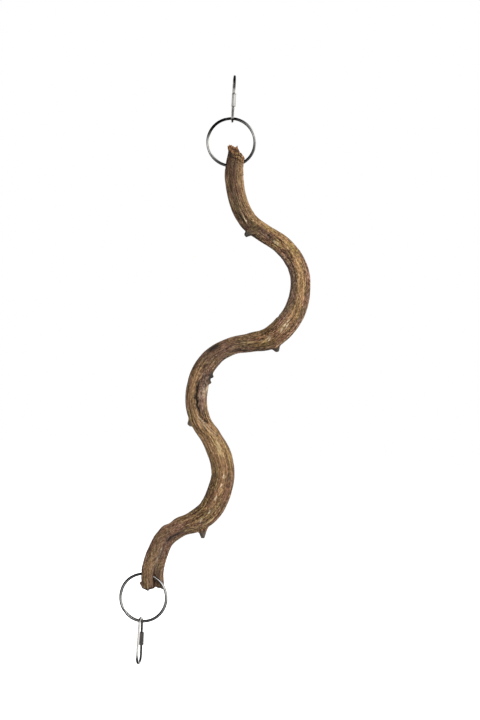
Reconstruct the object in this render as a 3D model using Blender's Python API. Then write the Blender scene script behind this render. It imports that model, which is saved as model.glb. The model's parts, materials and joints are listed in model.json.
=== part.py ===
"""Hanging bird perch: one winding vine stem carried on split rings and screw links.

The perch hangs from the inside of the upper link's wide bow, which is the origin.  The chain goes down
from there: upper link, upper split ring, vine stem, lower split ring, lower link.  +X is to the right of
the perch seen from the front, -Y is the front, +Z is up.  The dimensions below are in millimetres and
every mesh is made in metres.
"""
import math

import bpy
import bmesh
import numpy as np
from mathutils import Vector

MM = 0.001

# Screw links: a pear-shaped bow of round wire with a gate that a long hexagon nut closes.
LINK_LENGTH = 48.0
LINK_WIRE = 2.4
LINK_WIDE_RADIUS = 6.5
LINK_NARROW_RADIUS = 4.0
LINK_SIDES = 14
GATE_GAP = 5.5
NUT_LENGTH = 13.0
NUT_WALL = 0.85
NUT_CHAMFER = 0.9
NUT_FIT = 0.25
NUT_FROM_NARROW_BOW = 16.5

# Split rings: two flat turns of spring wire, joined by a short step from one turn to the other.
RING_DIAMETER = 50.0
RING_BAND = 2.8
RING_COIL = 1.2
RING_COIL_GAP = 0.5
RING_EDGE = 0.3
RING_STEPS = 60
RING_STEP_ANGLE = 18.0
UPPER_SPLIT_ANGLE = 99.0
LOWER_SPLIT_ANGLE = 216.0

# Fits between the pieces that hang in one another.
SEAT_CLEARANCE = 0.3
HOLE_CLEARANCE = 0.35

# The links and rings are turned a little about the vertical against the plane of the vine.
UPPER_TURN = -3.0
LOWER_TURN = 13.0
UPPER_HOLE_ANGLE = 13.5
LOWER_HOLE_ANGLE = 8.0
LOWER_LINK_ANGLE = 3.0

# Vine stem.  VINE_HEIGHT and VINE_SPREAD are how far its middle line goes up and down and from side to
# side.  Rows run from the top end to the bottom end and are measured from the upper hole: right, back, up,
# then the width and the depth as shares of the stem's usual width.
VINE_HEIGHT = 441.0
VINE_SPREAD = 133.0
VINE_WIDTH = 20.0
VINE_COURSE = (
    (1.0, 0.0, 13.0, 0.88, 0.82),
    (-1.0, 0.0, -5.0, 0.88, 0.84),
    (1.0, 1.0, -23.0, 0.91, 0.86),
    (7.0, 2.0, -41.0, 0.91, 0.87),
    (17.0, 3.0, -57.0, 0.90, 0.87),
    (32.0, 3.0, -67.0, 0.89, 0.86),
    (49.0, 2.0, -77.0, 0.95, 0.90),
    (62.0, 1.0, -90.0, 0.97, 0.92),
    (70.0, -1.0, -107.0, 0.97, 0.93),
    (71.0, -2.0, -126.0, 1.00, 0.95),
    (67.0, -3.0, -144.0, 1.07, 1.00),
    (57.0, -3.0, -160.0, 1.13, 1.04),
    (43.0, -2.0, -172.0, 1.10, 1.00),
    (25.0, -1.0, -177.0, 0.92, 0.90),
    (7.0, 1.0, -181.0, 0.88, 0.87),
    (-10.0, 2.0, -191.0, 0.96, 0.92),
    (-21.0, 3.0, -206.0, 1.04, 0.97),
    (-26.0, 3.0, -224.0, 1.05, 1.00),
    (-26.0, 2.0, -243.0, 1.06, 1.00),
    (-20.0, 1.0, -260.0, 1.00, 0.97),
    (-9.0, -1.0, -275.0, 1.02, 1.00),
    (0.0, -2.0, -292.0, 1.11, 1.05),
    (4.0, -3.0, -310.0, 1.13, 1.07),
    (1.0, -3.0, -328.0, 1.18, 1.10),
    (-7.0, -2.0, -346.0, 1.18, 1.09),
    (-20.0, 0.0, -358.0, 1.12, 1.04),
    (-36.0, 1.0, -366.0, 0.91, 0.90),
    (-51.0, 2.0, -378.0, 0.99, 0.93),
    (-58.0, 3.0, -395.0, 1.08, 0.95),
    (-62.0, 3.0, -412.0, 1.18, 0.97),
    (-61.0, 3.0, -428.0, 1.22, 0.97),
)
VINE_RINGS = 116
VINE_SIDES = 44
SIDE_CROWDING = 0.3
# Edges of the two torn ends: distance right of the middle, then how far the edge lies down the stem.
TOP_EDGE = (
    (-9.0, -3.6),
    (-7.5, -4.4),
    (-4.7, -2.6),
    (0.0, -1.2),
    (3.0, -0.3),
    (5.5, 1.5),
    (6.6, 2.9),
    (9.0, 4.2),
)
TOP_LEAN_LEFT = 0.34
TOP_LEAN_RIGHT = 0.08
BOTTOM_EDGE = (
    (-12.0, -4.5),
    (-10.0, -2.2),
    (-4.5, 2.6),
    (1.5, -0.8),
    (5.0, -0.9),
    (10.0, 0.2),
)
CUT_REACH = 24.0
# Hollowed pith at the ends: share of the section's radius, how deep it lies.
END_HOLLOW = (
    (0.75, 0.9),
    (0.30, 1.2),
    (0.18, 3.0),
)
LOBE_TILT = -21.0
LOBE_FROM_END = 75.0
# Long hollows in the stem: distance above the bottom end, angle from the right-hand side towards the
# front, depth as a share of the stem's radius.
HOLLOWS = (
    (268.0, 60.0, 0.00),
    (245.0, 68.0, 0.20),
    (225.0, 82.0, 0.26),
    (205.0, 68.0, 0.20),
    (185.0, 60.0, 0.00),
    (95.0, 36.0, 0.00),
    (70.0, 37.0, 0.22),
    (55.0, 45.0, 0.17),
    (40.0, 55.0, 0.24),
    (30.0, 60.0, 0.40),
    (20.0, 64.0, 0.62),
    (0.0, 64.0, 0.62),
)
HOLLOW_SPREAD_LEFT = 14.0
HOLLOW_SPREAD_RIGHT = 32.0
# Stubs of cut side shoots: root right, root up, tip right, tip up, all from the upper hole.
SHOOTS = (
    (24.0, -62.0, 13.0, -72.0),
    (46.0, -170.0, 52.0, -185.0),
    (-24.0, -252.0, -33.0, -263.0),
    (-13.0, -355.0, -13.0, -375.0),
)
# Bark: swellings and twisted strands, each with its height, how many lie round the stem and their length.
SWELL_HEIGHT = 0.9
SWELLS_ROUND = 5
SWELL_LENGTH = 26.0
STRAND_HEIGHT = 0.6
STRANDS_ROUND = 13
STRAND_LENGTH = 38.0
# Seams along the stem: rows of distance from the top end, angle and height (below zero for a slit), then
# the half angle.
SEAMS = (
    (((298, 66, 0.0), (304, 70, -1.4), (316, 80, -2.6), (323, 87, -3.2), (334, 88, -3.4), (347, 80, -2.6),
      (355, 71, -1.8), (364, 62, 0.0)), 8.5),
    (((340, 60, 0.0), (347, 62, -1.4), (357, 60, -1.2), (363, 54, 0.0)), 5.0),
    (((334, 110, 0.0), (346, 97, 0.9), (354, 84, 1.4), (367, 62, 1.2), (384, 45, 0.0)), 6.0),
    (((470, 62, 0.0), (484, 66, -0.5), (500, 66, -1.3), (512, 70, -0.5), (540, 72, -1.0),
      (559, 70, -1.0)), 6.0),
    (((212, 2, 0.0), (224, 8, -0.8), (246, 28, -1.1), (262, 50, -0.6), (276, 60, 0.0)), 6.5),
    (((392, 136, 0.0), (408, 132, -0.7), (424, 128, -0.6), (446, 122, 0.0)), 5.0),
    (((120, 232, 0.0), (150, 250, -1.2), (185, 262, -1.0), (225, 255, 0.0)), 6.0),
    (((330, 262, 0.0), (365, 250, -1.3), (400, 262, -1.0), (440, 270, 0.0)), 6.0),
    (((20, 250, 0.0), (45, 262, -0.9), (75, 255, 0.0)), 6.0),
)
# Lumps and buds: distance from the top end, angle, height, half length, half angle.
LUMPS = (
    (0.0, 178.0, 1.7, 3.0, 38.0),
    (128.0, 240.0, 1.0, 6.0, 30.0),
    (232.0, 75.0, 0.6, 9.0, 26.0),
    (304.0, 12.0, 2.3, 2.4, 14.0),
    (312.0, 10.0, 2.0, 2.0, 12.0),
    (390.0, 285.0, 1.1, 5.0, 26.0),
    (487.0, 178.0, 1.5, 6.0, 44.0),
    (500.0, 178.0, 1.3, 4.0, 44.0),
    (552.0, 184.0, 2.2, 1.6, 12.0),
    (556.0, 180.0, -1.9, 18.0, 46.0),
    (554.0, -8.0, 1.0, 22.0, 30.0),
)
# The bark is smooth where the lower ring lies against it: distance above the bottom end, angle, half angle.
RING_REST_REACH = 40.0
RING_REST_ANGLE = 20.0
RING_REST_HALF_ANGLE = 52.0
SHOOT_ROOT_RADIUS = 5.0
SHOOT_TIP_RADIUS = 1.4
LOWER_HOLE_SETBACK = 13.5
LOWER_HOLE_SIDE = -4.0
LOWER_HOLE_FRONT = 4.1
LOWER_HOLE_RUN = 7.0

UP = np.array((0.0, 0.0, 1.0))


def turned(degrees):
    """Directions across and to the back of fittings that are turned about the vertical."""
    turn = math.radians(degrees)
    return np.array((math.cos(turn), -math.sin(turn), 0.0)), np.array((math.sin(turn), math.cos(turn), 0.0))


upper_across, upper_back = turned(UPPER_TURN)
lower_across, lower_back = turned(LOWER_TURN)

for old in list(bpy.data.objects):
    bpy.data.objects.remove(old, do_unlink=True)


def finish(name, color, roughness, metallic):
    """Plain material of one piece."""
    material = bpy.data.materials.new(name)
    material.use_nodes = True
    shader = material.node_tree.nodes["Principled BSDF"]
    shader.inputs["Base Color"].default_value = (*color, 1.0)
    shader.inputs["Roughness"].default_value = roughness
    shader.inputs["Metallic"].default_value = metallic
    return material


def skin(name, rings, origin, material, closed=False):
    """Object skinned over rings of points: capped at both ends, or joined end to end when closed."""
    rings = np.asarray(rings) - np.asarray(origin)
    count, sides = rings.shape[:2]
    last = count if closed else count - 1
    faces = []
    for i in range(last):
        a = i * sides
        b = (i + 1) % count * sides
        for j in range(sides):
            k = (j + 1) % sides
            faces.append((a + j, a + k, b + k, b + j))
    if not closed:
        faces.append(tuple(range(sides)))
        faces.append(tuple(range((count - 1) * sides, count * sides)))
    mesh = bpy.data.meshes.new(name)
    mesh.from_pydata((rings.reshape(-1, 3) * MM).tolist(), [], faces)
    work = bmesh.new()
    work.from_mesh(mesh)
    bmesh.ops.recalc_face_normals(work, faces=work.faces)
    work.to_mesh(mesh)
    work.free()
    mesh.materials.append(material)
    thing = bpy.data.objects.new(name, mesh)
    thing.location = Vector(origin) * MM
    bpy.context.scene.collection.objects.link(thing)
    return thing


def along(points):
    """Unit directions along a row of points."""
    steps = np.gradient(points, axis=0)
    return steps / np.linalg.norm(steps, axis=1)[:, None]


def wire(points, side, radius, sides):
    """Rings of a round wire along points that all lie in the plane square to side."""
    angles = np.arange(sides) * 2.0 * math.pi / sides
    normal = np.cross(along(points), side)
    return (points[:, None, :] + radius * np.cos(angles)[None, :, None] * side
            + radius * np.sin(angles)[None, :, None] * normal[:, None, :])


# Screw link, drawn in its own plane: distance back from the middle line, height above the wide bow's inside.
half_wire = LINK_WIRE / 2.0
wide = LINK_WIDE_RADIUS + half_wire
narrow = LINK_NARROW_RADIUS + half_wire
wide_center = np.array((0.0, -LINK_WIDE_RADIUS))
narrow_center = np.array((0.0, 2.0 * LINK_WIRE - LINK_LENGTH + LINK_NARROW_RADIUS))
lean = math.asin((wide - narrow) / (wide_center[1] - narrow_center[1]))
front_normal = np.array((-math.cos(lean), -math.sin(lean)))
gate_foot = narrow_center + narrow * front_normal
gate_head = wide_center + wide * front_normal
gate_line = (gate_head - gate_foot) / np.linalg.norm(gate_head - gate_foot)
nut_middle = gate_foot + NUT_FROM_NARROW_BOW * gate_line
NUT_TRAVEL = (NUT_LENGTH + GATE_GAP) / 2.0


def bow(center, radius, start, stop, steps):
    """Points of a bow in the link's plane, angles measured from the back towards the top."""
    angles = np.radians(np.linspace(start, stop, steps))
    return center + radius * np.stack((np.cos(angles), np.sin(angles)), axis=1)


lean_degrees = math.degrees(lean)
link_line = np.vstack((
    nut_middle + GATE_GAP / 2.0 * gate_line,
    bow(wide_center, wide, 180.0 + lean_degrees, -lean_degrees, 18),
    bow(narrow_center, narrow, -lean_degrees, -180.0 + lean_degrees, 16),
    nut_middle - GATE_GAP / 2.0 * gate_line,
))


def place_link(line, top, flip, back):
    """Points of the link's plane set in space: the wide bow's inside at top, upside down when flip is -1."""
    line = np.atleast_2d(line)
    return top + flip * (line[:, :1] * back + line[:, 1:] * UP)


def add_link(name, nut_name, top, flip, origin, across, back):
    """One screw link with its nut, and the nut's middle."""
    line = place_link(link_line, top, flip, back)
    skin(name, wire(line, across, half_wire, LINK_SIDES), origin, steel)
    axis = flip * (gate_line[0] * back + gate_line[1] * UP)
    middle = place_link(nut_middle, top, flip, back)[0]
    angles = np.arange(24) * 2.0 * math.pi / 24
    bore = half_wire + NUT_FIT
    flat = half_wire + NUT_WALL
    hexagon = flat / np.cos(np.mod(angles, math.pi / 3.0) - math.pi / 6.0)
    rows = []
    half = NUT_LENGTH / 2.0
    lip = np.full(24, (bore + flat) / 2.0)
    round_hexagon = np.minimum(hexagon, flat * 1.06)
    for height, radii in (
        (-half, np.full(24, bore)), (-half, lip), (-half + NUT_CHAMFER, round_hexagon),
        (-half + 1.6 * NUT_CHAMFER, hexagon), (half - 1.6 * NUT_CHAMFER, hexagon),
        (half - NUT_CHAMFER, round_hexagon), (half, lip), (half, np.full(24, bore)),
    ):
        normal = np.cross(axis, across)
        spokes = np.cos(angles)[:, None] * across + np.sin(angles)[:, None] * normal
        rows.append(middle + height * axis + radii[:, None] * spokes)
    skin(nut_name, rows, middle, nut_steel, closed=True)
    return middle, axis


# Split ring in its own plane: distance across, distance back, height, from the middle of the ring.
ring_radius = (RING_DIAMETER - RING_BAND) / 2.0
ring_inside = RING_DIAMETER / 2.0 - RING_BAND
ring_half = RING_COIL + RING_COIL_GAP / 2.0


def split_ring(center, split, across, back):
    """Rings of points of the flat wire: two turns, with one step between them opposite the two ends."""
    total = 2 * RING_STEPS
    trim = RING_STEP_ANGLE / 2.0
    angles = split + 360.0 * np.arange(total + 1) / RING_STEPS
    angles[0] += trim
    angles[-1] -= trim
    share = np.clip((angles - split - 360.0 + trim) / (2.0 * trim), 0.0, 1.0)
    lift = (RING_COIL + RING_COIL_GAP) * (share * share * (3.0 - 2.0 * share) - 0.5)
    turn = np.radians(angles)
    out = np.cos(turn)[:, None] * across + np.sin(turn)[:, None] * UP
    r = RING_BAND / 2.0
    c = RING_COIL / 2.0
    e = RING_EDGE
    half_outline = ((r, c - e), (r - e, c), (e - r, c), (-r, c - e))
    outline = half_outline + tuple((-a, -b) for a, b in half_outline)
    rows = [center + (ring_radius + a) * out + (lift + b)[:, None] * back for a, b in outline]
    return np.stack(rows, axis=1)


def least_gap(rows):
    """Least distance between the two turns of a split ring, taken on its points."""
    first = rows[:RING_STEPS - 1].reshape(-1, 3)
    second = rows[RING_STEPS + 2:].reshape(-1, 3)
    step = np.linalg.norm(first[:, None, :] - second[None, :, :], axis=2)
    return float(step.min())


def drill(half_run):
    """Distance from the ring's middle to a hole's axis, and the hole's radius, for a run of the ring."""
    near = math.sqrt(ring_inside ** 2 - half_run ** 2)
    far = RING_DIAMETER / 2.0
    return (near + far) / 2.0, math.hypot((far - near) / 2.0, ring_half) + HOLE_CLEARANCE


def smooth(row, count):
    """Rows of a table joined by a smooth curve, at equal distances along it."""
    row = np.asarray(row)
    padded = np.vstack((2.0 * row[0] - row[1], row, 2.0 * row[-1] - row[-2]))
    t = np.linspace(0.0, 1.0, 40, endpoint=False)[:, None]
    parts = []
    for a, b, c, d in zip(padded[:-3], padded[1:-2], padded[2:-1], padded[3:]):
        parts.append(b + 0.5 * t * (c - a + t * (2 * a - 5 * b + 4 * c - d + t * (3 * (b - c) + d - a))))
    fine = np.vstack(parts + [row[-1:]])
    run = np.concatenate(((0.0,), np.cumsum(np.linalg.norm(np.diff(fine[:, :3], axis=0), axis=1))))
    at = np.linspace(0.0, run[-1], count)
    return np.stack([np.interp(at, run, column) for column in fine.T], axis=1), at


drawn = np.asarray(VINE_COURSE)
across_share = VINE_SPREAD / np.ptp(drawn[:, 0])
height_share = VINE_HEIGHT / np.ptp(drawn[:, 2])
course, distance = smooth(drawn * (across_share, 1.0, height_share, 1.0, 1.0), VINE_RINGS)
from_end = distance[-1] - distance


def ease(share):
    """Smooth step: zero below 0, one above 1, level at both ends."""
    share = np.clip(share, 0.0, 1.0)
    return share * share * (3.0 - 2.0 * share)


def swing_from(angle, middle):
    """Angle from a middle in degrees, taken the short way round."""
    return np.mod(angle - middle + 180.0, 360.0) - 180.0


def lattice(turn, run, around, length, seed):
    """Random values from 0 to 1 on a lattice, blended smoothly: some round the stem, one row in each length."""
    values = np.random.default_rng(seed).random((int(run.max() / length) + 3, around))
    across = np.mod(turn, 1.0) * around
    down = run / length
    column = across.astype(int)
    row = down.astype(int)
    a = ease(across - column)
    b = ease(down - row)
    column = column % around
    beside = (column + 1) % around
    upper = values[row, column] * (1.0 - a) + values[row, beside] * a
    lower = values[row + 1, column] * (1.0 - a) + values[row + 1, beside] * a
    return upper * (1.0 - b) + lower * b


def bark_height(run, angle):
    """Height of the bark over the plain section: swellings and twisted strands, then seams and lumps."""
    wander = lattice(angle / 360.0, run, 7, 34.0, 11) - 0.5
    turn = angle / 360.0 + 0.05 * wander + 0.00035 * run
    swell = lattice(turn, run, SWELLS_ROUND, SWELL_LENGTH, 21) - 0.5
    strand = 1.0 - np.abs(2.0 * lattice(turn, run, STRANDS_ROUND, STRAND_LENGTH, 31) - 1.0)
    height = SWELL_HEIGHT * swell + STRAND_HEIGHT * (strand - 0.6)
    above_end = distance[-1] - run
    beside_ring = np.abs(swing_from(angle, RING_REST_ANGLE))
    rest = ease((RING_REST_REACH - above_end) / 8.0) * ease((RING_REST_HALF_ANGLE - beside_ring) / 10.0)
    height = np.minimum(height, height * (1.0 - rest) - 0.25 * rest)
    for rows, half_angle in SEAMS:
        table = np.array(rows, dtype=float)
        middle = np.interp(run, table[:, 0], table[:, 1])
        seam = np.interp(run, table[:, 0], table[:, 2], left=0.0, right=0.0)
        height = height + seam * np.exp(-(swing_from(angle, middle) / half_angle) ** 2)
    for place, middle, lump, half_length, half_angle in LUMPS:
        near = ((run - place) / half_length) ** 2 + (swing_from(angle, middle) / half_angle) ** 2
        height = height + lump * np.exp(-near)
    return height


def top_cut(u, v):
    """How far down the stem the torn top lies: its edge drops to the right and leans to the front."""
    edge = np.array(TOP_EDGE)
    lean = TOP_LEAN_LEFT + (TOP_LEAN_RIGHT - TOP_LEAN_LEFT) * ease((u + 1.0) / 4.0)
    return np.interp(u, edge[:, 0], edge[:, 1]) + lean * v


def bottom_cut(u, v):
    """How far down the stem the broken bottom lies: lowest left of the middle and chipped at the left."""
    edge = np.array(BOTTOM_EDGE)
    return np.interp(u, edge[:, 0], edge[:, 1]) - 0.05 * v


def vine_rings(hole):
    """Rings of points of the stem: a leaning ellipse with a long hollow pressed into it, and the bark on it.

    Each end is closed by rings that shrink towards its hollowed pith.
    """
    center = hole + course[:, :3]
    heading = along(center)
    front = np.array((0.0, -1.0, 0.0))
    right = np.cross(front, heading)
    right /= np.linalg.norm(right, axis=1)[:, None]
    face = np.cross(heading, right)
    knots = np.asarray(HOLLOWS)[::-1]
    hollow_angle = np.radians(np.interp(from_end, knots[:, 0], knots[:, 1]))[:, None]
    hollow_depth = np.interp(from_end, knots[:, 0], knots[:, 2])[:, None]
    tilt = np.radians(LOBE_TILT) * ease(1.0 - from_end / LOBE_FROM_END)[:, None]
    spin = (np.arange(VINE_SIDES) * 2.0 * math.pi / VINE_SIDES)[None, :]
    offset = spin - SIDE_CROWDING * np.sin(spin)
    angle = hollow_angle + offset
    a = (VINE_WIDTH * course[:, 3] / 2.0)[:, None]
    b = (VINE_WIDTH * course[:, 4] / 2.0)[:, None]
    radius = 1.0 / np.sqrt((np.cos(angle - tilt) / a) ** 2 + (np.sin(angle - tilt) / b) ** 2)
    swing = np.degrees(np.arctan2(np.sin(offset), np.cos(offset)))
    spread = np.where(swing < 0.0, HOLLOW_SPREAD_RIGHT, HOLLOW_SPREAD_LEFT)
    radius = radius * (1.0 - hollow_depth * np.exp(-(swing / spread) ** 2))
    run = np.broadcast_to(distance[:, None], angle.shape)
    radius = radius + bark_height(run, np.degrees(angle))
    u = radius * np.cos(angle)
    v = radius * np.sin(angle)

    def at(row, u, v, slide):
        """Points right and front of the stem's middle, moved down the stem."""
        return center[row] + u[:, None] * right[row] + v[:, None] * face[row] + slide[:, None] * heading[row]

    top_share = np.clip(1.0 - distance / CUT_REACH, 0.0, 1.0)[:, None]
    bottom_share = np.clip(1.0 - from_end / CUT_REACH, 0.0, 1.0)[:, None]
    slide = top_share * top_cut(u, v) + bottom_share * bottom_cut(u, v)
    rings = [at(row, u[row], v[row], slide[row]) for row in range(VINE_RINGS)]
    for share, depth in END_HOLLOW:
        rings.insert(0, at(0, share * u[0], share * v[0], top_cut(share * u[0], share * v[0]) + depth))
        rings.append(at(-1, share * u[-1], share * v[-1], bottom_cut(share * u[-1], share * v[-1]) - depth))
    return np.array(rings)


def cylinder(name, middle, axis, radius, length):
    """Round bar used to drill a hole."""
    side = np.cross(axis, UP)
    side = side / np.linalg.norm(side)
    ends = np.array((middle - axis * length / 2.0, middle + axis * length / 2.0))
    bar = skin(name, wire(ends, side, radius, 24), (0.0, 0.0, 0.0), bark)
    bar.hide_render = True
    bar.display_type = "WIRE"
    return bar


def combine(thing, tool, operation):
    """Boolean of one helper on a piece."""
    step = thing.modifiers.new(tool.name, "BOOLEAN")
    step.object = tool
    step.operation = operation
    step.solver = "EXACT"


steel = finish("link_steel", (0.62, 0.61, 0.60), 0.18, 1.0)
nut_steel = finish("nut_steel", (0.55, 0.53, 0.50), 0.28, 1.0)
ring_steel = finish("ring_steel", (0.66, 0.65, 0.64), 0.15, 1.0)
bark = finish("vine_bark", (0.165, 0.098, 0.055), 0.85, 0.0)

# Upper link, hung at the origin, and the upper ring seated in its narrow bow.
hang = np.zeros(3)
seat = math.sqrt(LINK_NARROW_RADIUS ** 2 - ring_half ** 2) - SEAT_CLEARANCE
upper_pivot = hang + (narrow_center[1] - narrow) * UP
upper_ring_center = hang + (narrow_center[1] - seat - ring_inside) * UP
upper_nut, upper_nut_axis = add_link(
    "upper_link", "upper_link_nut", hang, 1.0, hang, upper_across, upper_back)
upper_rows = split_ring(upper_ring_center, UPPER_SPLIT_ANGLE, upper_across, upper_back)
skin("upper_ring", upper_rows, upper_pivot, ring_steel)

# The vine hangs with its upper hole on the ring.
tilt_up = math.radians(UPPER_HOLE_ANGLE)
upper_out, upper_drill = drill(VINE_WIDTH * VINE_COURSE[1][3] / 2.0 + 1.0)
upper_hole = upper_ring_center + upper_out * (math.sin(tilt_up) * upper_across - math.cos(tilt_up) * UP)
upper_axis = math.cos(tilt_up) * upper_across + math.sin(tilt_up) * UP
vine = skin("vine", vine_rings(upper_hole), upper_hole, bark)
for number, (root_x, root_z, tip_x, tip_z) in enumerate(SHOOTS, 1):
    root = upper_hole + np.array((root_x * across_share, -1.0, root_z * height_share))
    tip = root + np.array((tip_x - root_x, -1.0, tip_z - root_z))
    aim = (tip - root) / np.linalg.norm(tip - root)
    reach = np.linalg.norm(tip - root)
    side = np.cross(aim, np.array((0.0, 1.0, 0.0)))
    side /= np.linalg.norm(side)
    rows = []
    for part, thick in ((0.15, 1.0), (0.6, 0.9), (0.82, 0.52), (0.96, 0.34), (1.0, 0.2)):
        ends = np.array((root + part * reach * aim, root + (part * reach + 1.0) * aim))
        radius = SHOOT_TIP_RADIUS + (SHOOT_ROOT_RADIUS - SHOOT_TIP_RADIUS) * (thick - 0.2) / 0.8
        rows.append(wire(ends, side, radius, 10)[0])
    stub = skin(f"shoot_{number}", rows, (0.0, 0.0, 0.0), bark)
    stub.hide_render = True
    stub.display_type = "WIRE"
    combine(vine, stub, "UNION")
combine(vine, cylinder("upper_drill", upper_hole, upper_axis, upper_drill, 2.0 * VINE_WIDTH), "DIFFERENCE")

# The lower ring goes through the front lobe of the stem's lower end and in front of the rear lobe.
tilt_low = math.radians(LOWER_HOLE_ANGLE)
low_distance = distance[-1] - LOWER_HOLE_SETBACK
low_middle = np.array([np.interp(low_distance, distance, column) for column in course.T[:3]])
lower_hole = upper_hole + low_middle + np.array((LOWER_HOLE_SIDE, -LOWER_HOLE_FRONT, 0.0))
lower_out, lower_drill = drill(LOWER_HOLE_RUN)
lower_radial = math.sin(tilt_low) * lower_across + math.cos(tilt_low) * UP
lower_axis = math.cos(tilt_low) * lower_across - math.sin(tilt_low) * UP
lower_ring_center = lower_hole - lower_out * lower_radial
lower_start = lower_hole - LOWER_HOLE_RUN / 3.0 * lower_axis
low_bar = cylinder("lower_drill", lower_start, lower_axis, lower_drill, 3.0 * LOWER_HOLE_RUN)
combine(vine, low_bar, "DIFFERENCE")
lower_rows = split_ring(lower_ring_center, LOWER_SPLIT_ANGLE, lower_across, lower_back)
skin("lower_ring", lower_rows, lower_hole, ring_steel)

# Lower link, the same link hung upside down with its narrow bow on the ring.
low_angle = math.radians(LOWER_LINK_ANGLE)
low_contact = -math.sin(low_angle) * lower_across - math.cos(low_angle) * UP
low_bow_center = lower_ring_center + (ring_inside + seat) * low_contact
lower_top = low_bow_center + narrow_center[1] * UP
lower_pivot = low_bow_center + narrow * UP
lower_nut, lower_nut_axis = add_link(
    "lower_link", "lower_link_nut", lower_top, -1.0, lower_pivot, lower_across, lower_back)

for label, rows in (("upper ring", upper_rows), ("lower ring", lower_rows)):
    print(f"{label}: least gap between its turns {least_gap(rows):.2f} mm")
for label, value in (
    ("upper pivot", upper_pivot), ("upper hole", upper_hole), ("upper axis", upper_axis),
    ("lower hole", lower_hole), ("lower axis", lower_axis), ("lower pivot", lower_pivot),
    ("upper back", upper_back), ("lower back", lower_back),
    ("upper ring middle", upper_ring_center), ("lower ring middle", lower_ring_center),
    ("upper nut", upper_nut), ("lower nut", lower_nut), ("upper nut axis", upper_nut_axis),
    ("lower nut axis", lower_nut_axis), ("lower link inside", lower_top),
):
    print(label, [round(float(number), 4) for number in value])
print(f"nut travel {NUT_TRAVEL:.2f} mm, holes {2 * upper_drill:.2f} and {2 * lower_drill:.2f} mm")
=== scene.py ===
"""Scene of the hanging vine perch: a barked stem, two split rings, and two screw links with their nuts.

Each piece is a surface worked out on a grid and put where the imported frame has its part.  The frame's axes
hold: +X to the right seen from the front, -Y to the front, +Z up.  Sizes of the pieces are in millimetres,
those of the studio are in metres, angles are in degrees, and each mesh is made in metres.
"""
import json
import math

import bpy
import numpy as np
from mathutils import Matrix, Vector


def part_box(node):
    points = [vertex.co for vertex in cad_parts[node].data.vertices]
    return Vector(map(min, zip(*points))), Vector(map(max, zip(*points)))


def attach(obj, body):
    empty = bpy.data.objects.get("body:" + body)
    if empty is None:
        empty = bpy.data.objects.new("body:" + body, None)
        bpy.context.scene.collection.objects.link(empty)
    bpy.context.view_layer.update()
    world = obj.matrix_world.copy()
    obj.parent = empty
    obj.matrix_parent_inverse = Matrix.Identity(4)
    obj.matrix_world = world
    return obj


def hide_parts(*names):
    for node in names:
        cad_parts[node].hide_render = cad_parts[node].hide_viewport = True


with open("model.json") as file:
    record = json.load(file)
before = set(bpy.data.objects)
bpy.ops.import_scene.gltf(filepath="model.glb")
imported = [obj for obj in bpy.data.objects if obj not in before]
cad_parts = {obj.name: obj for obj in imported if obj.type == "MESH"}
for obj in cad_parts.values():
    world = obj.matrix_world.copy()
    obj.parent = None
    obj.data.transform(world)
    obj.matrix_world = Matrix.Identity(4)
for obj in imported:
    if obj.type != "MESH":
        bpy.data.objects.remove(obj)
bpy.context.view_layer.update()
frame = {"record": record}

MM = 0.001
SHARP_ANGLE = 48.0

# Split rings: two turns of flat spring wire that lie almost closed on each other.
RING_DIAMETER = 50.0
RING_BAND = 2.8
RING_THICKNESS = 2.9
RING_GAP = 0.14
RING_ROUNDING = 2.2
RING_STEP_ANGLE = 18.0
UPPER_SPLIT_ANGLE = 99.0
LOWER_SPLIT_ANGLE = 216.0
RING_ROWS = 420
RING_COLUMNS = 20
# Painted dark reflections of the rings, in place of the dark room they mirror: angle round the ring from its
# right-hand side towards the top, and their strength.
UPPER_RING_PAINTED_REFLECTION = ((0, 0.7), (20, 0.3), (40, 0.4), (60, 0.5), (80, 0.9), (100, 1),
                      (150, 1), (165, 0.85), (180, 0.35), (205, 0.25), (220, 0.4),
                      (240, 0.75), (345, 0.85), (360, 0.7))
LOWER_RING_PAINTED_REFLECTION = ((0, 0.5), (20, 0.45), (40, 0.1), (45, 0), (85, 0), (100, 0.75),
                      (125, 0.7), (150, 0.55), (180, 0.55), (205, 0.5), (225, 0.25),
                      (250, 0.05), (262, 0.1), (285, 0.5), (300, 0.65), (325, 0.65), (345, 0.5),
                      (360, 0.5))
# How far the painted dark reflection gathers on the left of the wire.
UPPER_REFLECTION_LEAN = 0.6
LOWER_REFLECTION_LEAN = 0.0

# Screw links: a pear-shaped bow of round wire whose gate is closed by a long hexagon nut.
LINK_LENGTH = 48.0
LINK_WIRE = 2.4
LINK_WIDE_RADIUS = 6.5
LINK_NARROW_RADIUS = 4.0
LINK_COLUMNS = 32
BOW_POINTS = 160
PLAIN_WIRE_ROWS = 190
GATE_GAP = 5.5
THREAD_PITCH = 0.5
THREAD_DEPTH = 0.12
THREAD_FADE = 0.8
THREAD_ROWS_PER_TURN = 7.0
THREAD_NEAR_WIDE_BOW = 5.0
THREAD_NEAR_NARROW_BOW = 14.0
WIRE_END_BEVEL = 0.35
WIRE_END_REACH = 0.4
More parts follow.
